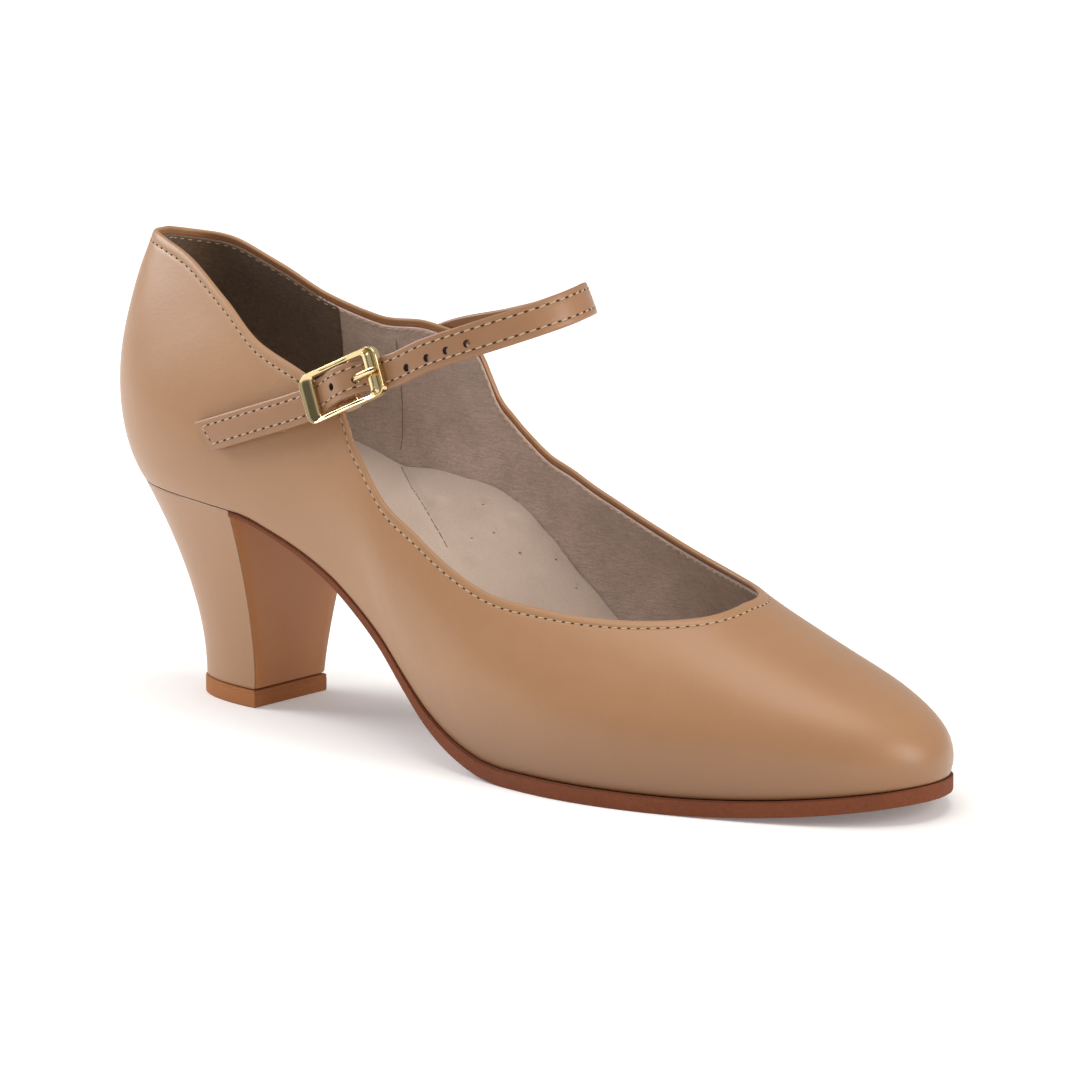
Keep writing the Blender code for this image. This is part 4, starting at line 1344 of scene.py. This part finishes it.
def hermitePath(points, spacing):
    points = np.array(points)
    knots = lengthsAlong(points[:, :3])
    step = np.diff(knots)
    slope = np.diff(points, axis=0) / step[:, None]
    tangent = np.zeros_like(points)
    weight = (step[1:] / (step[1:] + step[:-1]))[:, None]
    tangent[1:-1] = slope[:-1] * weight + slope[1:] * (1 - weight)
    tangent[0] = 2 * slope[0] - tangent[1]
    tangent[-1] = 2 * slope[-1] - tangent[-2]
    count = int(round(knots[-1] / spacing))
    s = np.linspace(0, knots[-1], count + 1)
    i = np.clip(np.searchsorted(knots, s, side="right") - 1, 0, len(step) - 1)
    h = step[i][:, None]
    u = ((s - knots[i]) / step[i])[:, None]
    rise = u * u * (3 - 2 * u)
    curve = points[i] * (1 - rise) + points[i + 1] * rise
    return s, curve + h * tangent[i] * u * (1 - u) ** 2 - h * tangent[i + 1] * u * u * (1 - u)


def strapRows():
    origin, along, down, out = axes
    rows = []
    half = strapWidth / 2
    straight = frameLength / 2 - 2 * gap
    bend = origin - along * straight + down * float(strapSway(-1))
    for share in (1.0, 0.8, 0.6, 0.4, 0.2):
        travel = (tailLength - straight) * share
        x = bend.x - travel * cos(tailPitch)
        z = bend.z - travel * sin(tailPitch)
        face = quarterPoint(x, z, -1)
        lower = quarterPoint(x + half * sin(tailPitch), z - half * cos(tailPitch), -1)
        stand = restHeight - tailSettle * share * share
        hang = (lower - face).normalized() * share + down * (1 - share)
        rows.append((x, face.y - stand, z, *hang))
    for step in range(-4, 5):
        distance = straight * step / 4
        middle = origin + along * distance + out * float(strapHeight(distance))
        middle += down * float(strapSway(step / 4))
        rows.append((*middle, *down))
    start = Vector(rows[-1][:3])
    end = Vector((start.x - rootBack, rootSide, start.z + rootRise))
    centre = (start + end) / 2
    reach = (start - end) / 2
    crown = Vector((crownForward, 0, crownRise))
    rootDown = Vector((sin(rootPitch), buckleTip, -cos(rootPitch)))
    crownDown = Vector((sin(crownLean), 0, -cos(crownLean)))
    for degrees in range(15, 180, 15):
        turn = radians(degrees)
        middle = centre + reach * cos(turn) + crown * sin(turn)
        power = crownFullness if degrees < 90 else rootFlatness
        middle.z -= crownRise * (sin(turn) - sin(turn) ** power)
        side = down if degrees < 90 else rootDown
        blend = sin(turn) ** 2
        facing = side * (1 - blend) + crownDown * blend
        rows.append((*middle, *facing.normalized()))
    for share in (0.30, 0.55, 0.78, 1.0):
        x = end.x - rootReach * share * cos(rootPitch)
        z = end.z - rootReach * share * sin(rootPitch)
        face = quarterPoint(x, z, 1)
        lower = quarterPoint(x + half * sin(rootPitch), z - half * cos(rootPitch), 1)
        rows.append((x, face.y + rootClearance + strapThickness / 2, z, *(lower - face).normalized()))
    return rows


def strapFrames(spacing):
    distance, rows = hermitePath(strapRows(), spacing)
    middle = rows[:, :3]
    along = unit(np.gradient(middle, axis=0))
    down = rows[:, 3:]
    down = unit(down - along * dot(down, along))
    return distance, middle, along, down, np.cross(down, along)


strapPiece = dict(
    spacing=0.8,
    rounding=0.42,
    rowAcross=2.35,
    grooveDepth=0.13,
    grooveWidth=0.28,
    edgeLine=0.10,
    crown=0.10,
    stitchPitch=2.7,
    endInset=1.5,
    slotLength=2.7,
    slotForward=0.5,
    punchDepth=1.6,
    threadHalf=(0.78, 0.19, 0.16),
    endThreadHalf=(0.66, 0.19, 0.16),
    needleHalf=(0.42, 0.20, 0.07),
    endNeedleHalf=(0.38, 0.22, 0.10),
    endPitch=2.1,
    threadTilt=0.10,
    firstStitch=0.7,
    endFirst=0.9,
    needleProud=0.02,
    endNeedleProud=0.06,
)


def strapOutline(size):
    half = strapWidth / 2 / mm
    thick = strapThickness / 2 / mm
    r = size["rounding"]
    inner = half - r
    row = size["rowAcross"]
    across = [-inner, -row - 0.5, -row - 0.25, -row, -row + 0.25, -row + 0.5, -1.0, 0.0]
    across = across + [-a for a in across[-2::-1]]
    top = []
    for a in across:
        b = thick - size["crown"] * (a / half) ** 2
        b -= size["grooveDepth"] * bell(abs(a) - row, size["grooveWidth"])
        top.append((a, b))
    side = []
    for turn in turns(60, 30, 5):
        side.append((inner + r * cos(turn), thick - size["crown"] - r + r * sin(turn)))
    side += [(half - size["edgeLine"], 0.05), (half - size["edgeLine"], -0.05)]
    for turn in turns(-5, -30, -60):
        side.append((inner + r * cos(turn), -thick + r + r * sin(turn)))
    base = [(a, -thick) for a in (inner, 1.6, 0, -1.6, -inner)]
    other = [(-a, b) for a, b in side[::-1]]
    return [(a * mm, b * mm) for a, b in top + side + base + other]


strapDistance, strapMiddle, strapAlong, strapDown, strapOut = strapFrames(strapPiece["spacing"] * mm)


def slantAt(distance):
    # the tail is cut on the slant, and the slant fades away along it
    return tailSlant / strapWidth * np.clip(1 - distance / 0.009, 0, 1)


def strapMesh(size):
    slant = strapAlong * slantAt(strapDistance)[:, None]
    rows = [strapMiddle + strapDown * a + strapOut * b + slant * a for a, b in strapOutline(size)]
    return np.stack(rows, axis=1)


def strapPunches(size):
    # round holes through the strap, and the longer one that the prong uses
    offset = strapMiddle - np.array(axes[0])
    forwardOfBar = offset @ np.array(axes[1])
    near = np.linalg.norm(offset, axis=1) < frameLength
    nearBar = int(np.argmin(np.where(near, np.abs(forwardOfBar), 1)))
    shapes = []
    for number, (forward, fall) in enumerate(zip(holes["forward"], holes["down"])):
        i = int(np.argmin(np.abs(strapDistance - strapDistance[nearBar] - forward)))
        middle = strapMiddle[i].copy()
        stretch = 0.0
        width = holeDiameter
        if number == 1:
            fromSlot = np.abs(forwardOfBar - prongCrossing - size["slotForward"] * mm)
            i = int(np.argmin(np.where(near, fromSlot, 1)))
            stretch = size["slotLength"] * mm / 2 - prongWidth / 2 - gap
            width = prongWidth + 2 * gap
            middle = strapMiddle[i] - np.array(axes[2]) * (offset[i] @ np.array(axes[2]))
        rings = []
        for side in (-1, 1):
            ring = []
            for corner in range(24):
                turn = 2 * pi * (corner + 0.5) / 24
                along = cos(turn) * width / 2 + (stretch if cos(turn) > 0 else -stretch)
                across = sin(turn) * width / 2 + fall
                level = middle + strapOut[i] * side * size["punchDepth"] * mm
                ring.append(level + strapAlong[i] * along + strapDown[i] * across)
            rings.append(ring)
        shapes.append(ringBody(np.array(rings), False))
    return shapes


def cutWith(piece, cutterPoints, cutterFaces):
    mesh = bpy.data.meshes.new("cutter")
    mesh.from_pydata([tuple(p) for p in cutterPoints + np.array(shift)], [], cutterFaces)
    shape = bmesh.new()
    shape.from_mesh(mesh)
    bmesh.ops.recalc_face_normals(shape, faces=shape.faces)
    shape.to_mesh(mesh)
    shape.free()
    cutter = bpy.data.objects.new("cutter", mesh)
    bpy.context.scene.collection.objects.link(cutter)
    change = piece.modifiers.new("cut", "BOOLEAN")
    change.operation = "DIFFERENCE"
    change.solver = "EXACT"
    change.object = cutter
    bpy.context.view_layer.update()
    result = bpy.data.meshes.new_from_object(piece.evaluated_get(bpy.context.evaluated_depsgraph_get()))
    piece.modifiers.clear()
    piece.data = result
    piece.data.shade_smooth()
    piece.data.set_sharp_from_angle(angle=radians(40))
    bpy.data.objects.remove(cutter, do_unlink=True)


strapBody = ringBody(strapMesh(strapPiece), False)
strap = makePiece("strap_band", *strapBody, strapLeather, ["strap"], "strap", sharp=40)
punches = strapPunches(strapPiece)
cutWith(strap, *mergeShapes(punches))


def holeWallShade():
    # painted shade: dark inner walls inside the punched holes, standing in for their shadowed depth
    shapes = []
    for punchPoints, _ in punches:
        middle = punchPoints.mean(axis=0)
        outerRing = middle + (punchPoints - middle) * np.array([0.995, 0.995, 0.995])
        half = len(outerRing) // 2
        depth = (outerRing[half:] - outerRing[:half]) * 0.24
        low = outerRing[:half] + depth
        high = outerRing[half:] - depth * 1.16
        rings = [low, high, middle + (high - middle) * 0.93, middle + (low - middle) * 0.93]
        sections = np.stack(rings, axis=1)
        shapes.append(ringBody(sections, True))
    return mergeShapes(shapes)


makePiece("strap_hole_wall_shade", *holeWallShade(), needleHoleShade, ["strap"], "strap")


def strapPathAt(across, start, rise):
    slants = slantAt(strapDistance)[:, None]
    path = strapMiddle + strapDown * across + strapAlong * across * slants + strapOut * rise
    keep = strapDistance > start
    return path[keep], strapOut[keep], strapDistance[keep]


def strapStitches(size):
    # a row along each edge, and one along the slanted end
    surface = strapThickness / 2 - (size["crown"] + size["grooveDepth"] * 0.6) * mm * 0.5
    threadShapes = []
    holeShapes = []
    pitch = size["stitchPitch"] * mm
    for across in (-size["rowAcross"], size["rowAcross"]):
        path, normals, distances = strapPathAt(across * mm, size["endInset"] * mm, surface)
        lengths, places, directions = samplePath(path, pitch, size["firstStitch"] * mm)
        out = unit(between(lengths, lengthsAlong(path), normals))
        threadShapes.append(beads(places, directions, out, size["threadHalf"], size["threadTilt"]))
        # the dark beads between the stitches are painted shade for the needle holes
        holePlaces = places + directions * pitch / 2 + out * size["needleProud"] * mm
        holeShapes.append(beads(holePlaces, directions, out, size["needleHalf"]))
    corners = []
    for across in np.linspace(-size["rowAcross"], size["rowAcross"], 12):
        base = strapMiddle[0] + strapDown[0] * across * mm + strapOut[0] * surface
        corners.append(base + strapAlong[0] * (across * mm * tailSlant / strapWidth + size["endInset"] * mm))
    pitch = size["endPitch"] * mm
    lengths, places, directions = samplePath(np.array(corners), pitch, size["endFirst"] * mm)
    out = np.repeat(strapOut[:1], len(places), axis=0)
    threadShapes.append(beads(places, directions, out, size["endThreadHalf"], size["threadTilt"]))
    holePlaces = places + directions * pitch / 2 + out * size["endNeedleProud"] * mm
    holeShapes.append(beads(holePlaces, directions, out, size["endNeedleHalf"]))
    return mergeShapes(threadShapes), mergeShapes(holeShapes)


threads, punctures = strapStitches(strapPiece)
makePiece("strap_stitches", *threads, thread, ["strap"], "strap")
makePiece("strap_needle_holes", *punctures, needleHoleShade, ["strap"], "strap")
print("strap ready")


def place(a, w, n):
    origin, along, down, out = axes
    return np.array(origin + along * float(a) + down * float(w) + out * float(n))


def roundedRectangle(rear, front, halfWidth, radius, alongPoints, acrossPoints):
    corners = [
        (front - radius, halfWidth - radius, 0),
        (rear + radius, halfWidth - radius, 90),
        (rear + radius, -halfWidth + radius, 180),
        (front - radius, -halfWidth + radius, 270),
    ]
    points = []
    for number, (a, w, start) in enumerate(corners):
        for corner in range(11):
            turn = radians(start + 9 * corner)
            points.append((a + radius * cos(turn), w + radius * sin(turn)))
        after = corners[(number + 1) % 4]
        turn = radians(after[2])
        target = (after[0] + radius * cos(turn), after[1] + radius * sin(turn))
        between = alongPoints if number % 2 == 0 else acrossPoints
        last = points[-1]
        for step in range(1, between + 1):
            share = step / (between + 1)
            points.append((last[0] + (target[0] - last[0]) * share, last[1] + (target[1] - last[1]) * share))
    return points


bucklePiece = dict(
    rim=0.42,
    edgeEase=0.30,
    dish=0.55,
    restGroove=0.55,
    innerEase=0.22,
    openingCorner=1.0,
)


def buckleMesh(size):
    half = frameLength / 2
    outerHalf = openingWidth / 2 + frameRail
    outer = roundedRectangle(-half, half, outerHalf, frameCorner, 26, 14)
    inner = roundedRectangle(openingRear, openingFront, openingWidth / 2, size["openingCorner"] * mm, 26, 14)
    top = frameTop / mm
    sections = []
    for (oa, ow), (ia, iw) in zip(outer, inner):
        outerPoint = np.array([oa, ow]) / mm
        innerPoint = np.array([ia, iw]) / mm
        span = np.linalg.norm(innerPoint - outerPoint)
        rimWidth = size["rim"]
        wide = smoothStep(span, 1.6, 3.0)  # 0 on the rails, 1 on the end bars
        front = float(smoothStep(oa, half - 2.4 * mm, half - 1.2 * mm)) * wide
        low = frameUnder / mm - 0.6 * (frameUnder - barHeight) / mm * (
            1 - float(smoothStep(abs(oa), 0.0008, 0.0026))
        )
        rest = span - size["innerEase"]
        profile = [
            (0.0, low),
            (0.0, top - size["edgeEase"] * 1.3),
            (0.05, top - size["edgeEase"] * 0.55),
            (0.16, top - size["edgeEase"] * 0.15),
            (rimWidth * 0.62, top),
            (rimWidth, top - 0.02),
            (rimWidth + 0.14, top - 0.12 - 0.1 * wide),
        ]
        start = rimWidth + 0.14
        for share in (0.22, 0.38, 0.50, 0.62, 0.80):
            q = start + (rest - start) * share
            sag = (0.12 + 0.1 * wide) + (size["dish"] - 0.2) * wide * share
            groove = front * size["restGroove"] * bell(share - 0.42, 0.14)
            rise = front * 0.42 * float(smoothStep(share, 0.5, 0.62))
            profile.append((q, top - sag - groove + rise))
        sagEnd = (0.14 + 0.1 * wide) + (size["dish"] - 0.2) * wide - front * 0.40
        profile += [(rest, top - sagEnd), (span - 0.06, top - sagEnd - 0.1), (span, top - sagEnd - 0.3)]
        profile += [(span, low)]
        row = []
        for q, n in profile:
            plan = outerPoint + (innerPoint - outerPoint) * (q / span)
            row.append(place(plan[0] * mm, plan[1] * mm, n * mm))
        sections.append(row)
    return np.array(sections)


points, faces = ringBody(buckleMesh(bucklePiece), True)
barRows = []
for w in np.linspace(-openingWidth / 2 - frameRail / 2, openingWidth / 2 + frameRail / 2, 5):
    ring = []
    for corner in range(28):
        turn = 2 * pi * corner / 28
        ring.append(place(barRadius * cos(turn), w, barHeight + barRadius * sin(turn)))
    barRows.append(ring)
frameShape = mergeShapes([(points, faces), ringBody(np.array(barRows), False)])
makePiece("buckle_frame_cast", *frameShape, brass, ["buckle_frame"], "buckle", sharp=55)


def prongMesh():
    hook = barRadius + gap + prongThickness / 2
    path = []
    for degrees in range(85, 345, 13):
        turn = radians(degrees)
        path.append((hook * cos(turn), barHeight + hook * sin(turn)))
    rise = prongHeight - barHeight
    for forward, up in ((0.78, 0.18), (0.94, 0.44), (1.16, 0.74), (1.60, 0.94)):
        path.append((prongCrossing * forward, barHeight + rise * up))
    path.append((openingFront - gap, prongHeight))
    path.append((frameLength / 2 - frameRail / 2, prongHeight))
    knots = np.array([(a, n, 0.0) for a, n in path])
    s, fine = hermitePath(knots, 0.35 * mm)
    points2 = fine[:, :2]
    tangent = unit(np.gradient(points2, axis=0))
    half = prongWidth / 2
    thick = prongThickness / 2
    sections = []
    for i, ((a, n), (da, dn)) in enumerate(zip(points2, tangent)):
        left = s[-1] - s[i]
        taper = 0.72 + 0.28 * min(1.0, left / 0.0016)
        shape = [
            (0.62, -0.8),
            (0.95, -0.3),
            (0.95, 0.35),
            (0.70, 0.9),
            (0.32, 1.0),
            (0.16, 0.62),
            (-0.16, 0.62),
            (-0.32, 1.0),
            (-0.70, 0.9),
            (-0.95, 0.35),
            (-0.95, -0.3),
            (-0.62, -0.8),
        ]
        row = []
        for across, height in shape:
            w = across * half * taper
            t = height * thick * taper
            row.append(place(a - dn * t, w, n + da * t))
        sections.append(row)
    return np.array(sections)


makePiece("buckle_prong_cast", *ringBody(prongMesh(), False), brass, ["buckle_prong"], "buckle", sharp=50)

chapePiece = dict(
    fibres=90,
    fibreLength=1.1,
    fibreHalf=0.05,
    fibreRange=(-7.0, 3.0),
    fibreHeights=(-1.6, 1.9),
    fibreSeed=11,
)


def layOnQuarter(a, w, n):
    point = place(a, w, n)
    if a > -2 * loopRadius:
        return point
    out = axes[3]
    hit = outerTree.ray_cast(Vector(place(a, w, 0.02)), -out, 0.026)[0]
    drop = (hit - Vector(place(a, w, 0))).dot(out) if hit else 0.0
    return place(a, w, n + drop * float(smoothStep(-a, 2 * loopRadius, 4 * loopRadius)))


def chapeMesh():
    half = chapeThickness / 2
    turnRadius = barRadius + gap + half
    path = [(-chapeLength * share, gap + half) for share in (1.0, 0.8, 0.6, 0.4)]
    path.append((-1.6 * loopRadius, gap + half))
    for degrees in range(270, 450, 15):
        turn = radians(degrees)
        path.append((turnRadius * cos(turn), barHeight + turnRadius * sin(turn)))
    path.append((turnRadius * cos(radians(118)), barHeight + turnRadius * sin(radians(118))))
    path += [(-1.9 * loopRadius, chapeTop - half + 0.2 * mm), (-2.7 * loopRadius, chapeTop - half)]
    path += [(-chapeLength * share, chapeTop - half) for share in (0.4, 0.6, 0.8, 1.0)]
    knots = np.array([(a, n, 0.0) for a, n in path])
    s, fine = hermitePath(knots, 0.6 * mm)
    tangent = unit(np.gradient(fine[:, :2], axis=0))
    width = chapeWidth / 2
    shape = []
    for across in np.linspace(-1, 1, 9):
        shape.append((across * (width - 0.15 * mm), half * 0.94))
    shape += [(width, half * 0.5), (width, -half * 0.5)]
    for across in np.linspace(1, -1, 9):
        shape.append((across * (width - 0.15 * mm), -half * 0.94))
    shape += [(-width, -half * 0.5), (-width, half * 0.5)]
    sections = []
    for (a, n), (da, dn) in zip(fine[:, :2], tangent):
        sections.append([layOnQuarter(a - dn * t, w, n + da * t) for w, t in shape])
    return np.array(sections)


chapeBody = ringBody(chapeMesh(), False)
chape = makePiece("chape_loop", *chapeBody, strapLeather, ["buckle_chape"], "chape", sharp=45)
slot = []
for n in (0, barHeight + 2 * loopRadius):
    corners = [(-1, -1), (1, -1), (1, 1), (-1, 1)]
    slot.append([place(a * (loopRadius + gap), w * (prongWidth / 2 + gap), n) for a, w in corners])
cutWith(chape, *ringBody(np.array(slot), False))


def chapeFibres(size):
    # frayed fibres along the chape's cut lower edge
    random = np.random.default_rng(size["fibreSeed"])
    along, down, out = (np.array(axis) for axis in axes[1:])
    shapes = []
    for number in range(size["fibres"]):
        a = random.uniform(*size["fibreRange"]) * mm
        n = barHeight + random.uniform(*size["fibreHeights"]) * mm
        root = place(a, chapeWidth / 2 - 0.2 * mm, n)
        lean = random.normal(0, 0.4, 2)
        half = size["fibreLength"] * random.uniform(0.4, 1.2) / 2
        heading = unit(down + along * lean[0] + out * (lean[1] + 0.3))
        middle = root + heading * half * mm
        normal = np.cross(heading, along)
        shapes.append(beads([middle], [heading], [normal], (half, size["fibreHalf"], size["fibreHalf"])))
    return mergeShapes(shapes)


makePiece("chape_fibres", *chapeFibres(chapePiece), rawFibre, ["buckle_chape"], "chape")
print("buckle ready")

# studio: pale floor, bright surroundings, and soft lights from the left, the right and above
studio = dict(
    floorColour=(0.93, 0.93, 0.93),
    floorHalf=6.0,
    floorGlow=0.15,
    surroundings=0.52,
    sideDark=0.75,
    sideAzimuth=-49.0,
    sideRise=0.15,
    sideStart=0.72,
    sideFull=0.93,
    # name, azimuth, elevation, distance, size, power, colour
    lights=[
        ("key", -72, 28, 2.2, 1.2, 29.0, (0.96, 0.98, 1.0)),
        ("fill", 100, 24, 2.4, 1.6, 27.0, (1.0, 0.95, 0.88)),
        ("overhead", 30, 82, 2.2, 1.8, 22.0, (1.0, 0.95, 0.88)),
    ],
    lightAim=(0, 0, 0.05),
    azimuth=41.0,
    elevation=12.2,
    distance=2.2,
    lens=312.0,
    aim=(0.1257, 0, 0.0507),
)

floorMesh = bpy.data.meshes.new("floor")
half = studio["floorHalf"]
corners = [(-half, -half, 0), (half, -half, 0), (half, half, 0), (-half, half, 0)]
floorMesh.from_pydata(corners, [], [(0, 1, 2, 3)])
floorFinish = Finish("pale_floor")
floorClouds = floorFinish.noise(3, 2.0, 0.5)
floorFinish.set(baseColor=floorFinish.mix(floorClouds, studio["floorColour"], grey(0.95)), roughness=0.9)
floorFinish.set(emissionColor=grey(1.0), emissionStrength=studio["floorGlow"])
floorMesh.materials.append(floorFinish.material)
floor = bpy.data.objects.new("floor", floorMesh)
bpy.context.scene.collection.objects.link(floor)

# the surroundings are darker on one side, which gives the metal its contrast
world = bpy.data.worlds.new("surroundings")
sky = Finish("surroundings", world)
side = radians(studio["sideAzimuth"])
darkest = (sin(side), -cos(side), studio["sideRise"])
facing = sky.node("ShaderNodeVectorMath", {"operation": "DOT_PRODUCT"}, {0: sky.place, 1: darkest}, "Value")
darkness = sky.ramp(facing, (studio["sideStart"], grey(0.0)), (studio["sideFull"], grey(1.0)))
sky.set(color=sky.mix(darkness * studio["sideDark"], grey(1.0), grey(0.0)), strength=studio["surroundings"])
bpy.context.scene.world = world


def standAt(thing, azimuth, elevation, distance, aim):
    # turns a light or the camera towards its aim from so far away
    turn, rise = radians(azimuth), radians(elevation)
    back = Vector((sin(turn) * cos(rise), -cos(turn) * cos(rise), sin(rise)))
    thing.location = Vector(aim) + back * distance
    thing.rotation_euler = back.to_track_quat("Z", "Y").to_euler()
    bpy.context.scene.collection.objects.link(thing)


for name, azimuth, elevation, distance, size, power, colour in studio["lights"]:
    lamp = bpy.data.lights.new(name, "AREA")
    lamp.shape = "DISK"
    lamp.size = size
    lamp.energy = power
    lamp.color = colour
    light = bpy.data.objects.new(name, lamp)
    standAt(light, azimuth, elevation, distance, studio["lightAim"])

cameraData = bpy.data.cameras.new("camera")
cameraData.lens = studio["lens"]
cameraData.sensor_width = 36
cameraData.clip_end = 30
camera = bpy.data.objects.new("camera", cameraData)
aim = Vector(studio["aim"]) + shift
standAt(camera, studio["azimuth"], studio["elevation"], studio["distance"], aim)
bpy.context.scene.camera = camera
bpy.context.scene.view_settings.view_transform = "Standard"
print("studio ready")
